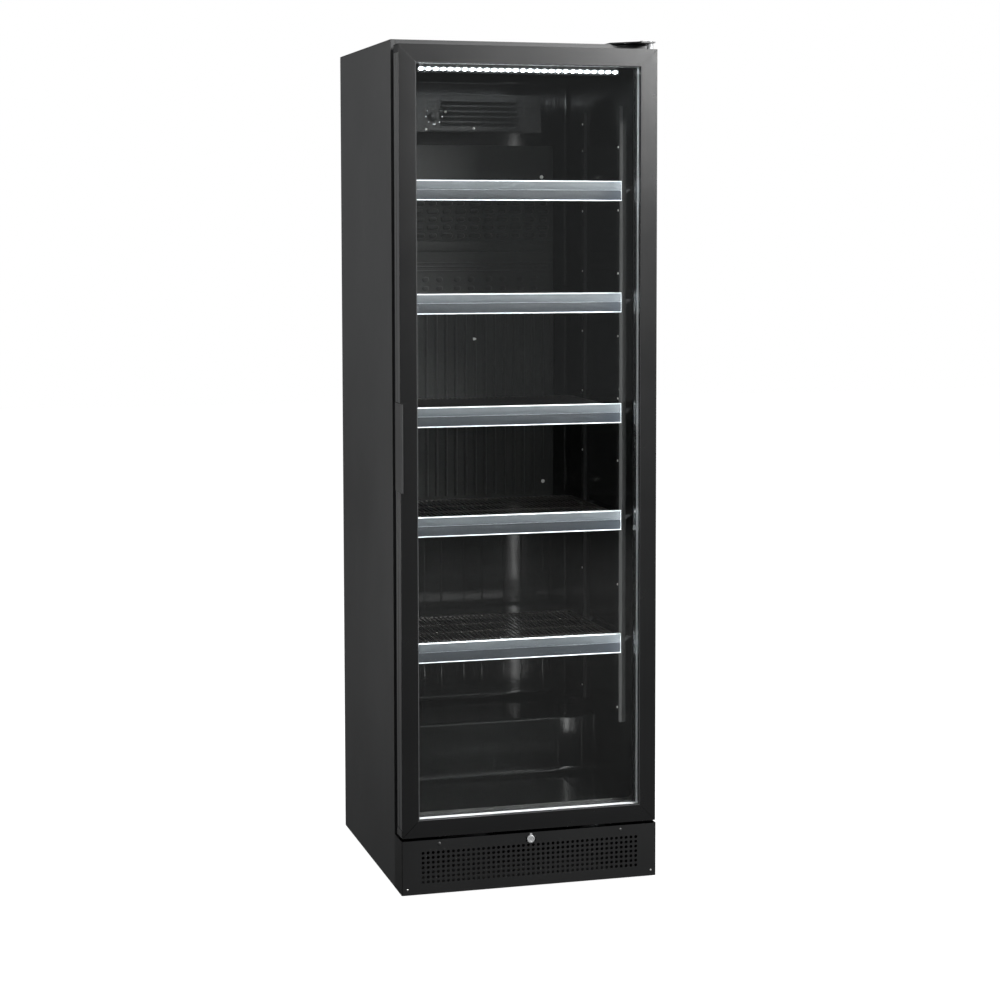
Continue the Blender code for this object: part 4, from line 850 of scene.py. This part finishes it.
# ---------------------------------------------------------------- door
def make_door():
    for name, node in (("left_stile", "door_stile_left"), ("right_stile", "door_stile_right"),
                       ("top_rail", "door_rail_top"), ("bottom_rail", "door_rail_bottom")):
        refined(name, node, "door", "door_frame_paint", "door", 0.0009)
    edge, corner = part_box("door_stile_right")
    half, face = corner.x, corner.x - edge.x
    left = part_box("door_stile_left")
    low, high = left[0].z, left[1].z
    front, rear = left[0].y, left[1].y

    # The bead's coat is lighter than the frame's: a painted highlight line round the glass.
    bead = [(face - 0.0022, front + THIN), (face + 0.0002, front + 0.0002),
            (face + 0.0011, front + 0.0010), (face + 0.0013, front + 0.0030),
            (face + 0.0010, front + 0.0088), (face - 0.0004, front + 0.0090),
            (face - 0.0004, front + 0.0012)]
    ring = solid("glazing_bead", "bead", (framed, bead, half, low, high))
    finish_piece(ring, "door", "door_frame_paint", sharp=60.0)

    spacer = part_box("glass_spacer")
    y0, y1 = spacer[0].y, spacer[1].y
    inner, outer = face + 0.0015, half - spacer[1].x
    profile = [(outer, y0), (inner - 0.0004, y0), (inner, y0 + 0.0004), (inner, y0 + 0.0034),
               (inner - 0.0010, y0 + 0.0042), (inner - 0.0010, y1 - 0.0042), (inner, y1 - 0.0034),
               (inner, y1 - 0.0004), (inner - 0.0004, y1), (outer, y1)]
    bar = solid("spacer_bar", "spacer", (framed, profile, half, low, high))
    finish_piece(bar, "door", "spacer_aluminium", "glass_spacer", sharp=30.0)

    depth = (y0 + y1) / 2
    reach_z = (high - low) - 2 * inner
    reach_x = 2 * (half - inner)
    runs = [("X", -side, (side * (half - inner + 0.0010), depth, low + inner + 0.006), reach_z,
             (0.0, 0.0, SPACER_DOT_PITCH)) for side in (-1, 1)]
    runs += [("Z", up, (-half + inner + 0.006, depth, edge), reach_x, (SPACER_DOT_PITCH, 0.0, 0.0))
             for edge, up in ((low + inner - 0.0010, 1), (high - inner + 0.0010, -1))]
    # Dark discs in rows along the spacer: painted shade standing in for its holes.
    dots = []
    for axis, out, place, reach, step in runs:
        profile = [(0.0, out * 0.0001), (SPACER_DOT, out * 0.0001), (SPACER_DOT, -out * 0.0002),
                   (0.0, -out * 0.0002)]
        dots.append(repeated(solid("dot", "hole", (lathe, profile, place, axis, 6)), "hole",
                             int((reach - 0.012) / SPACER_DOT_PITCH), step))
    finish_piece(merged("spacer_holes", *dots), "door", "spacer_aluminium", sharp=30.0)

    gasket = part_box("door_gasket")
    y0, y1 = gasket[0].y, gasket[1].y
    deep = y1 - y0
    near = half - gasket[1].x
    far = near + SEAL_WIDTH
    profile = [(near + 0.002, y0), (far - 0.002, y0), (far - 0.001, y0 + deep * 0.22),
               (far - 0.005, y0 + deep * 0.36), (far - 0.001, y0 + deep * 0.50),
               (far - 0.004, y0 + deep * 0.62), (far, y0 + deep * 0.74), (far, y1 - 0.001),
               (far - 0.001, y1), (near + 0.001, y1), (near, y1 - 0.001), (near, y0 + deep * 0.74),
               (near + 0.004, y0 + deep * 0.62), (near + 0.001, y0 + deep * 0.50),
               (near + 0.005, y0 + deep * 0.36), (near + 0.001, y0 + deep * 0.22)]
    seal = solid("seal_bellows", "rubber", (framed, profile, half, low, high))
    finish_piece(seal, "door", "seal_rubber", "door_gasket", sharp=75.0)

    pull = refined("pull_handle", "handle", "door", "door_frame_paint", "door", 0.0005).data
    foot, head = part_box("handle")
    # The handle's left side and its lip's front take the lighter coat: painted light on the faces
    # the light falls on.
    pull.materials.append(PAINT["edge"])
    for side in pull.polygons:
        if side.normal.x < -0.5 or (side.normal.y < -0.5 and side.center.y < foot.y + 0.004):
            side.material_index = 1
    # Lighter bands on both side faces of the door, with gaps between: lighter paint standing in for
    # light on the sides.
    lower, upper = low + 0.018, high - 0.018
    strips = [(slab, sorted((side * (half - 0.0004), side * (half + 0.0003))), y, span)
              for side, spans in ((-1, ((lower, foot.z - 0.001), (head.z + 0.001, upper))),
                                  (1, ((lower, upper),)))
              for span in spans
              for y in ((front + 0.0030, front + 0.0285), (front + 0.0315, rear - 0.0040))]
    lit_side_bands = soften(solid("door_side_bands", "edge", *strips), 0.0002, 1)
    finish_piece(lit_side_bands, "door", "door_frame_paint", sharp=50.0)
    places = [(foot.x + 0.0009, -0.270, (foot.z + head.z) / 2 + step * HANDLE_SCREW_PITCH)
              for step in (-1, 0, 1)]
    screws("handle_screws", "door", "door_frame_paint", places, "left", 0.0044, "dark_screw", 0.24)

    covers = []
    deep = (front + 0.006, rear - 0.001)
    for side, edge, up in ((1, high, -1), (-1, low, 1)):
        x0, x1 = side * (half + CAP_PROUD), side * (half - CAP_REACH)
        z0, z1 = edge - up * CAP_PROUD, edge + up * CAP_REACH
        covers.append((slab, sorted((x0, side * (half - 0.0002))), deep, sorted((z0, z1))))
        covers.append((slab, sorted((x0, x1)), deep, sorted((z0, edge + up * 0.0002))))
    caps = soften(solid("door_corner_caps", "rubber", *covers), 0.0002, 1)
    finish_piece(caps, "door", "seal_rubber")


def make_hinges():
    for name, node in (("upper_hinge_plate", "top_hinge_bracket"),
                       ("lower_hinge_plate", "bottom_hinge_bracket")):
        refined(name, node, "hinge", "hinge_steel", "cabinet", 0.0004)
    low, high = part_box("top_hinge_bracket")
    places = [(low.x + 0.020, high.y - 0.016, high.z), (low.x + 0.052, high.y - 0.016, high.z)]
    screws("hinge_screws", "cabinet", "hinge_steel", places, "up", 0.0045, "dark_screw", 0.5)
    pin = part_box("top_hinge_pin")
    x, y = (pin[0].x + pin[1].x) / 2, (pin[0].y + pin[1].y) / 2
    top, foot = pin[1].z, high.z + 0.0001
    post = solid("hinge_stop", "hinge",
                 (lathe, [(0.0, top), (0.0052, top), (0.0062, top - 0.0008), (0.0062, foot),
                          (0.0, foot)], (x, y, 0.0), "Z", 28),
                 (lathe, [(0.0, top - 0.0002), (0.0026, top - 0.0002), (0.0032, top - 0.0008),
                          (0.0032, foot), (0.0, foot)], (x - 0.019, y + 0.004, 0.0), "Z", 20))
    finish_piece(post, "cabinet", "hinge_steel", sharp=30.0)


# ---------------------------------------------------------------- liner
def arc(centre, start, turn, radius, steps=6):
    """Points on a part circle; angles in degrees."""
    return [(centre[0] + radius * math.cos(math.radians(start + turn * k / steps)),
             centre[1] + radius * math.sin(math.radians(start + turn * k / steps)))
            for k in range(steps + 1)]


def liner_solid(name, grow, front):
    """The storage space as a rounded solid, grown outwards by a wall."""
    low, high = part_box("inner_liner")
    back = high.y - LINER_WALL
    half = high.x - LINER_WALL + grow
    floor, roof = low.z + LINER_WALL, high.z - LINER_WALL
    soft, step = LINER_CORNER_RADIUS, STEP_EDGE_RADIUS
    side = [(front, floor - grow)]
    side += arc((STEP_FRONT - soft, floor + soft), -90, 90, soft + grow)
    side += arc((STEP_FRONT + step, STEP_TOP - step), 180, -90, step - grow)
    side += arc((back - soft, STEP_TOP + soft), -90, 90, soft + grow)
    side += arc((back - soft, roof - soft), 0, 90, soft + grow)
    side.append((front, roof + grow))
    shape = bmesh.new()
    prism(shape, side, "X", (-half, half))
    shape.normal_update()
    edges = [edge for edge in shape.edges
             if abs(edge.verts[0].co.x - edge.verts[1].co.x) < 1e-6
             and any(vert.co.y > front + 1e-6 for vert in edge.verts)]
    bmesh.ops.bevel(shape, geom=edges, offset=LINER_EDGE_RADIUS + grow, segments=5, profile=0.5,
                    affect="EDGES", clamp_overlap=False)
    return add_piece(name, shape, "liner")


def half_round(name, x, path):
    """A moulded rib along a path; each place on the path has its outward direction."""
    shape = bmesh.new()
    across = [(RIB_RADIUS * math.cos(math.pi * k / 6),
               RIB_RADIUS * 0.55 * math.sin(math.pi * k / 6)) for k in range(7)]
    rings = [[shape.verts.new((x + a, place[0] + out[0] * h, place[1] + out[1] * h))
              for a, h in across] for place, out in path]
    for ring, after in zip(rings, rings[1:]):
        for index in range(6):
            shape.faces.new((ring[index], ring[index + 1], after[index + 1], after[index]))
        shape.faces.new((ring[6], ring[0], after[0], after[6]))
    shape.faces.new(rings[0])
    shape.faces.new(list(reversed(rings[-1])))
    bmesh.ops.recalc_face_normals(shape, faces=shape.faces)
    return add_piece(name, shape, "liner")


def make_liner():
    """Vacuum-formed shell, open at the door, with ribs and a compressor step."""
    low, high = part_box("inner_liner")
    front, back = low.y, high.y - LINER_WALL
    half = high.x - LINER_WALL
    floor = low.z + LINER_WALL
    liner = liner_solid("liner_shell", LINER_WALL, front)
    carve(liner, liner_solid("liner_space", 0.0, front - 0.02))
    place_piece(soften(liner, 0.0007, 2, 60), "cabinet", "liner_plastic", "inner_liner")
    foam = cad_copy("foam_fill", "insulation_foam", "foam")
    carve(foam, liner_solid("foam_space", LINER_WALL + THIN, front - 0.02))
    finish_piece(foam, "cabinet", "foam", "insulation_foam", sharp=30.0)

    soft, radius = LINER_CORNER_RADIUS, STEP_EDGE_RADIUS
    low_z, top_z = floor - RIB_SUNK, STEP_TOP - RIB_SUNK
    step_y, back_y = STEP_FRONT + RIB_SUNK, back + RIB_SUNK
    over_step = [((front + 0.03, low_z), (0, 1)), ((STEP_FRONT - soft, low_z), (0, 1)),
                 ((STEP_FRONT - soft * 0.29, floor + soft * 0.29), (-0.7, 0.7)),
                 ((step_y, floor + soft), (-1, 0)), ((step_y, STEP_TOP - radius), (-1, 0)),
                 ((STEP_FRONT + radius * 0.29, STEP_TOP - radius * 0.29), (-0.7, 0.7)),
                 ((STEP_FRONT + radius, top_z), (0, 1)), ((STEP_FRONT + 0.06, top_z), (0, 1))]
    up_back = [((back - soft - 0.055, top_z), (0, 1)), ((back - soft, top_z), (0, 1)),
               ((back - soft * 0.29, STEP_TOP + soft * 0.29), (-0.7, 0.7)),
               ((back_y, STEP_TOP + soft), (-1, 0)), ((back_y, BACK_RIB_TOP), (-1, 0)),
               ((back_y + 0.003, BACK_RIB_TOP + 0.006), (-1, 0))]
    ribs = [half_round("rib", x, path) for places, path in ((STEP_RIBS, over_step),
                                                            (BACK_RIBS, up_back)) for x in places]
    finish_piece(merged("liner_ribs", *ribs), "cabinet", "liner_plastic", sharp=60.0)

    panels = []
    for x in BACK_PANELS_X:
        for z0, z1 in BACK_PANELS_Z:
            outline = rounded_rect(0.017, (z1 - z0) / 2, 0.008, 4, (x, (z0 + z1) / 2))
            panel = solid("panel", "liner", (prism, outline, "Y", (back - 0.0016, back + 0.0004)))
            panels.append(soften(panel, 0.0010, 2, 50))
    finish_piece(merged("liner_back_panels", *panels), "cabinet", "liner_plastic", sharp=50.0)

    mouldings = []
    for side in (-1, 1):
        for z, y1 in ((0.357, back - 0.03), (0.2325, STEP_FRONT - 0.02)):
            outline = [(side * (half + RIB_SUNK - 0.0022 * math.sin(math.pi * k / 6)),
                        z + 0.003 * math.cos(math.pi * k / 6)) for k in range(7)]
            mouldings.append(solid("moulding", "liner", (prism, outline, "Y", (-0.215, y1))))
    finish_piece(merged("liner_side_mouldings", *mouldings), "cabinet", "liner_plastic", sharp=50.0)


RAILS = ("front_left", "front_right", "rear_left", "rear_right")


def rail_sides(rail):
    """A rail's box, the side it is on, and where its face and the wall behind it are."""
    low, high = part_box("pilaster_" + rail)
    return (low, high, 1, low.x, high.x) if low.x > 0 else (low, high, -1, high.x, low.x)


def make_pilasters():
    """Slotted rails, one hollow channel each, with their wall screws and shelf clips."""
    for rail in RAILS:
        low, high, side, face, wall = rail_sides(rail)
        rows = int((high.z - low.z) / SLOT_PITCH)
        pitch = (high.z - low.z) / rows
        top = low.z + pitch
        middle = (low.y + high.y) / 2
        shape = bmesh.new()
        slot = rounded_rect(SLOT_WIDTH / 2, SLOT_LENGTH / 2, SLOT_WIDTH / 2 * 0.98, 2,
                            (middle, low.z + pitch / 2))
        ring = [shape.verts.new((face, y, z)) for y, z in slot]
        corner = [shape.verts.new((face, y, z)) for y, z in
                  ((high.y, top), (low.y, top), (low.y, low.z), (high.y, low.z))]
        quarter = len(ring) // 4
        for index in range(4):
            start = index * quarter + quarter // 2
            part = [ring[(start + step) % len(ring)] for step in range(quarter + 1)]
            shape.faces.new([corner[index], *part, corner[(index + 1) % 4]])
        for y in (low.y, high.y):
            shape.faces.new([shape.verts.new((x, y, z)) for x, z in
                             ((face, low.z), (wall, low.z), (wall, top), (face, top))])
        bmesh.ops.remove_doubles(shape, verts=shape.verts, dist=WELD)
        tiles = repeated(add_piece("rail_tile", shape, "pilaster"), "pilaster", rows,
                         (0.0, 0.0, pitch))
        channel = sheet_metal("slotted_rail_" + rail, taken_shape(tiles), "pilaster",
                              Vector((-side, 0.0, 0.0)))
        finish_piece(channel, "cabinet", "pilaster_paint", "pilaster_" + rail, sharp=35.0)
        heights = [WALL_SCREW_FIRST + WALL_SCREW_PITCH * k for k in range(WALL_SCREWS)]
        if rail.startswith("rear"):
            heights.append(WALL_SCREW_LAST)
        screws("rail_screws_" + rail, "cabinet", "pilaster_paint",
               [(face, middle, z) for z in heights if low.z < z < high.z],
               "left" if side > 0 else "right", 0.0026, "screw", 0.5)

    clips = []
    for number in range(1, 6):
        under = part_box(f"shelf_{number}")[0].z - 0.0006
        for rail in RAILS:
            low, high, side, face, wall = rail_sides(rail)
            y = (low.y + high.y) / 2
            outline = [(face, under - CLIP_REACH), (face - side * 0.0015, under - CLIP_REACH),
                       (face - side * CLIP_REACH, under - 0.0025),
                       (face - side * CLIP_REACH, under), (face, under)]
            span = (y - CLIP_WIDTH / 2, y + CLIP_WIDTH / 2)
            clips.append(solid("clip", "zinc", (prism, outline, "Y", span)))
    clip = soften(merged("shelf_clips", *clips), 0.0004, 1)
    finish_piece(clip, "cabinet", "pilaster_paint")


# ---------------------------------------------------------------- shelves
def make_shelves():
    for number in range(1, 6):
        body = f"shelf_{number}_set"
        low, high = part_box(f"shelf_{number}")
        top, half, radius = high.z, high.x, FRAME_WIRE_RADIUS
        outline = rounded_rect(half - radius, (high.y - low.y) / 2 - radius, 0.012, 6,
                               (0.0, (low.y + high.y) / 2))
        rim = route_tube("rim", [(x, y, top - radius) for x, y in outline], radius, "wire", True)
        count = 2 * int((half - 0.010) / WIRE_PITCH) + 1
        first = -WIRE_PITCH * (count - 1) / 2
        height = top - WIRE_RADIUS - 0.0002
        wire = route_tube("wire", [(first, low.y + 0.004, height), (first, high.y - 0.004, height)],
                          WIRE_RADIUS, "wire", sides=2)
        repeated(wire, "wire", count, (WIRE_PITCH, 0.0, 0.0))
        cross = route_tube("cross", [(side * (half - 0.004), low.y + 0.10, top - 0.0054)
                                     for side in (-1, 1)], 0.0024, "wire")
        repeated(cross, "wire", 3, (0.0, 0.10, 0.0))
        rail = route_tube("rail", [(side * (half - 0.006), high.y - radius, top - radius * 2.6)
                                   for side in (-1, 1)], radius * 0.8, "wire")
        finish_piece(merged(f"wire_shelf_{number}", rim, wire, cross, rail), body, "shelf_wire",
                     f"shelf_{number}", sharp=60.0)

        low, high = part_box(f"price_strip_{number}")
        front, rear = low.y, high.y
        floor, roof = low.z + STRIP_LIP, high.z - STRIP_LIP
        profile = [(front + 0.0020, high.z), (rear, high.z), (rear, high.z - 0.0015),
                   (front + 0.0032, high.z - 0.0018), (front + 0.0024, high.z - 0.004),
                   (front + 0.0024, low.z + 0.004), (front + 0.0030, low.z + 0.0015),
                   (front + 0.0030, low.z), (front + 0.0006, low.z), (front, low.z + 0.0007),
                   (front, floor), (front + 0.0012, floor + 0.0006),
                   (front + 0.0014, roof - 0.0006), (front + 0.0004, roof),
                   (front + 0.0008, high.z - 0.0006)]
        strip = solid(f"label_strip_{number}", "strip_edge", (prism, profile, "X", (low.x, high.x)))
        finish_piece(strip, body, "price_strip", f"price_strip_{number}", sharp=35.0)
        split = low.z + (high.z - low.z) * STRIP_SPLIT
        for label, paint, z0, z1 in (("lower", "strip", floor + 0.0002, split - 0.0003),
                                     ("upper", "strip_upper", split, roof - 0.0002)):
            bowed = [(front + 0.0008 - 0.0005 * math.sin(math.pi * k / 6),
                      z0 + (z1 - z0) * k / 6) for k in range(7)]
            bowed += [(front + 0.0015, z1), (front + 0.0015, z0)]
            band = solid(f"label_band_{label}_{number}", paint,
                         (prism, bowed, "X", (low.x + 0.0012, high.x - 0.0012)))
            finish_piece(band, body, "price_strip", sharp=35.0)


# ---------------------------------------------------------------- light
def make_light():
    refined("light_rail", "led_channel", "panel", "panel_paint", "cabinet", 0.0005)
    low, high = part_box("led_strip")
    middle = (low + high) / 2
    outward = Vector((0.0, -(high.z - low.z), -(high.y - low.y))).normalized()
    along = Vector((0.0, high.y - low.y, -(high.z - low.z))).normalized()
    half, thick = 0.0045, 0.0004
    corners = [middle + along * half * a + outward * thick * b for a, b in
               ((-1, -1), (1, -1), (1, 1), (-1, 1))]
    tape = solid("light_tape", "strip_edge",
                 (prism, [(corner.y, corner.z) for corner in corners], "X", (-high.x, high.x)))
    finish_piece(tape, "cabinet", "led_light", "led_strip", sharp=30.0)

    shape = bmesh.new()
    bmesh.ops.create_uvsphere(shape, u_segments=10, v_segments=6, radius=LED_RADIUS)
    for vert in shape.verts:
        vert.co.x *= 1.18
        vert.co.y *= 0.55
    turn = Matrix.Rotation(math.atan2(-outward.z, -outward.y), 4, "X")
    first = Vector((-LED_PITCH * (LED_COUNT - 1) / 2, 0.0, 0.0))
    shape.transform(Matrix.Translation(middle + first + outward * 0.0006) @ turn)
    lamps = repeated(add_piece("light_spots", shape, "light"), "light", LED_COUNT,
                     (LED_PITCH, 0.0, 0.0))
    finish_piece(lamps, "cabinet", "led_light", sharp=60.0)


# ---------------------------------------------------------------- evaporator and its fan
def stadium(length, lift, place, steps=6):
    """Raised oblong pad with its middle at a place, facing the front, with a sloping edge."""
    shape = bmesh.new()
    straight = (length - PAD_HEIGHT) / 2
    rings = []
    for grow, y in ((0.0, 0.0006), (0.0, 0.0), (-0.0010, -lift), (-0.0022, -lift - 0.0002)):
        radius = PAD_HEIGHT / 2 + grow
        turns = [(side, math.pi * step / steps - math.pi / 2)
                 for side in (1, -1) for step in range(steps + 1)]
        rings.append([shape.verts.new((side * (straight + radius * math.cos(angle)), y,
                                       side * radius * math.sin(angle))) for side, angle in turns])
    for near, far in zip(rings, rings[1:]):
        for index in range(len(near)):
            after = (index + 1) % len(near)
            shape.faces.new((near[index], near[after], far[after], far[index]))
    shape.faces.new(rings[-1])
    shape.faces.new(list(reversed(rings[0])))
    bmesh.ops.recalc_face_normals(shape, faces=shape.faces)
    shape.transform(Matrix.Translation(place))
    return add_piece("emboss", shape, "plate")


def make_evaporator():
    """Embossed cooling plate: oblong pads above, folds between, upright channels below."""
    low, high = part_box("evaporator_plate")
    face = low.y
    refined("cooling_plate", "evaporator_plate", "plate", "evaporator_paint", "cabinet", 0.0006)
    parts = []
    for length, column, row in ((0.030, 0, 0), (0.030, 1, 1), (0.020, 1, 0), (0.020, 0, 1)):
        pad = stadium(length, 0.0014, (PAD_FIRST[0] + PAD_STEP_X * column, face,
                                       PAD_FIRST[1] + PAD_STEP_Z * row))
        parts.append(repeated(pad, "plate", 6, (PAD_STEP_X * 2, 0.0, 0.0), 3 - row,
                              (0.0, 0.0, PAD_STEP_Z * 2)))
    for x, z in ((-0.185, 1.362), (-0.150, 1.340), (-0.185, 1.340), (-0.150, 1.362)):
        pad = stadium(0.0165, 0.0012, (x, face, z))
        parts.append(repeated(pad, "plate", 5, (0.0795, 0.0, 0.0)))
    base = face + 0.0006
    for z, half, lift in ((1.442, 0.014, 0.0022), (1.4015, 0.0028, 0.0010),
                          (1.3925, 0.0022, 0.0008), (1.382, 0.0022, 0.0008),
                          (1.5605, 0.0022, 0.0008), (1.578, 0.008, 0.0012)):
        outline = [(y, across) for across, y in bulge(z, half, base, -lift - 0.0006)]
        parts.append(solid("fold", "plate", (prism, outline, "X", (low.x + 0.004, high.x - 0.004))))
    for start, columns, z in ((-0.2025, 16, 0.831), (0.1895, 2, 0.916)):
        outline = bulge(start, 0.0040, base, -0.0025)
        channel = solid("channel", "plate", (prism, outline, "Z", (z, CHANNEL_TOP)))
        parts.append(repeated(channel, "plate", columns, (CHANNEL_PITCH, 0.0, 0.0)))
    finish_piece(merged("plate_channels", *parts), "cabinet", "evaporator_paint", sharp=38.0)
    places = [(x, face, z) for x, z in PLATE_SCREWS]
    screws("plate_screws", "cabinet", "evaporator_paint", places, "front", 0.0046, "screw", 0.5)


def make_fan_cover():
    """Cover with louvres, crooked ribs, dots and a bottom lip."""
    low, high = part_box("evaporator_fan_cover")
    refined("fan_cover", "evaporator_fan_cover", "plastic", "machine_plastic", "cabinet", 0.0007)
    face = low.y
    middle = (low.z + high.z) / 2
    z = middle - LOUVRE_PITCH * 2
    blade = [(face - 0.0028, z - 0.0056), (face - 0.0016, z - 0.0060), (face + 0.0020, z + 0.0026),
             (face + 0.0008, z + 0.0032)]
    parts = [repeated(solid("louvre", "plastic", (prism, blade, "X", span)), "plastic", 5,
                      (0.0, 0.0, LOUVRE_PITCH)) for span in ((-0.080, 0.020), (0.024, 0.105))]
    for x in (-0.082, 0.0215, 0.107):
        route = [(x + 0.0016 * math.sin(math.pi * 3 * k / 16), face - 0.0022,
                  middle - 0.036 + 0.072 * k / 16) for k in range(17)]
        parts.append(route_tube("fan_rib", route, 0.0014, "plastic", sides=2))
    for radius, place, pattern in (
            (0.0017, (-0.118, face, high.z - 0.0035), (18, (0.0139, 0.0, 0.0))),
            (0.0019, (0.1125, face, middle - 0.030),
             (2, (0.0075, 0.0, 0.0), 5, (0.0, 0.0, 0.0150)))):
        shape = bmesh.new()
        bmesh.ops.create_uvsphere(shape, u_segments=10, v_segments=6, radius=radius)
        shape.transform(Matrix.Translation(place))
        parts.append(repeated(add_piece("dot", shape, "plastic"), "plastic", *pattern))
    lip = [(face + 0.0004, low.z + 0.001), (face - 0.0050, low.z + 0.0008),
           (face - 0.0058, low.z + 0.0022), (face - 0.0050, low.z + 0.0034),
           (face + 0.0004, low.z + 0.0036)]
    parts.append(solid("lip", "plastic", (prism, lip, "X", (-0.110, 0.122))))
    finish_piece(merged("cover_louvres", *parts), "cabinet", "machine_plastic", sharp=40.0)
    places = [(-0.0705, face, middle + 0.003), (0.0, face, low.z + 0.009),
              (-0.118, face, low.z + 0.006)]
    screws("cover_screws", "cabinet", "machine_plastic", places, "front", 0.0030, "screw", 0.5)
    make_dial(face)


def make_dial(face):
    """Ribbed knob on the fan cover's face, with a ring of plain marks."""
    low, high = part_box("thermostat_knob")
    x, z = (low.x + high.x) / 2, (low.z + high.z) / 2
    front, radius = low.y, high.x - x
    outline = []
    for k in range(36):
        angle = 2 * math.pi * k / 36
        grip = radius - (0.0007 if k % 3 == 0 else 0.0)
        outline.append((x + grip * math.cos(angle), z + grip * math.sin(angle)))
    crown = [(0.0, 0.0), (radius * 0.80, 0.0), (radius * 0.90, 0.0010), (radius * 0.92, 0.0018),
             (0.0, 0.0018)]
    spindle = [(0.0, 0.0), (0.003, 0.0), (0.003, 0.0030), (0.0, 0.0030)]
    knob = solid("dial_knob", "plastic",
                 (prism, outline, "Y", (front + 0.0016, face - 0.0006)),
                 (lathe, crown, (x, front, z), "Y", 36),
                 (slab, (x - 0.0012, x + 0.0012), (front, front + 0.0012),
                  (z - radius * 0.70, z + radius * 0.70)),
                 (lathe, spindle, (x, face - 0.0008, z), "Y", 16))
    soften(knob, 0.0002, 1)
    finish_piece(knob, "thermostat_dial", "machine_plastic", "thermostat_knob", sharp=35.0)

    marks = []
    for k in range(7):
        angle = math.radians(-90 + (k - 3) * DIAL_STEP)
        across, up = x + DIAL_RING * math.cos(angle), z + DIAL_RING * math.sin(angle)
        wide = 0.0030 if k == 3 else 0.0012
        marks.append((slab, (across - wide, across + wide), (face - 0.0003, face + 0.0003),
                      (up - 0.0011, up + 0.0011)))
    finish_piece(solid("dial_marks", "strip_edge", *marks), "cabinet", "machine_plastic")


# ---------------------------------------------------------------- carried-over nodes
def paint_nodes():
    """Finishes for the CAD nodes that keep their own shape."""
    for paint, nodes in {
            "zinc": ("base_tray", "evaporator_fan_motor", "condenser_fan_motor"),
            "plastic": ("drip_tray", "condenser_fan_shroud", "thermostat_body", "mains_inlet",
                        "evaporator_fan_blades", "condenser_fan_blades"),
            "enamel": ("condenser_coil", "compressor"),
            "copper": ("discharge_pipe", "suction_pipe"),
            "chrome": ("top_hinge_pin", "bottom_hinge_pin"),
            "foot": ("foot_front_left", "foot_front_right", "foot_rear_left", "foot_rear_right"),
            "glass": ("glass_outer", "glass_inner")}.items():
        for node in nodes:
            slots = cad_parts[node].data.materials
            slots.clear()
            slots.append(PAINT[paint])


make_camera()
make_studio()
make_cabinet_skins()
make_plinth()
make_lock()
make_door()
make_hinges()
make_liner()
make_pilasters()
make_shelves()
make_light()
make_evaporator()
make_fan_cover()
paint_nodes()
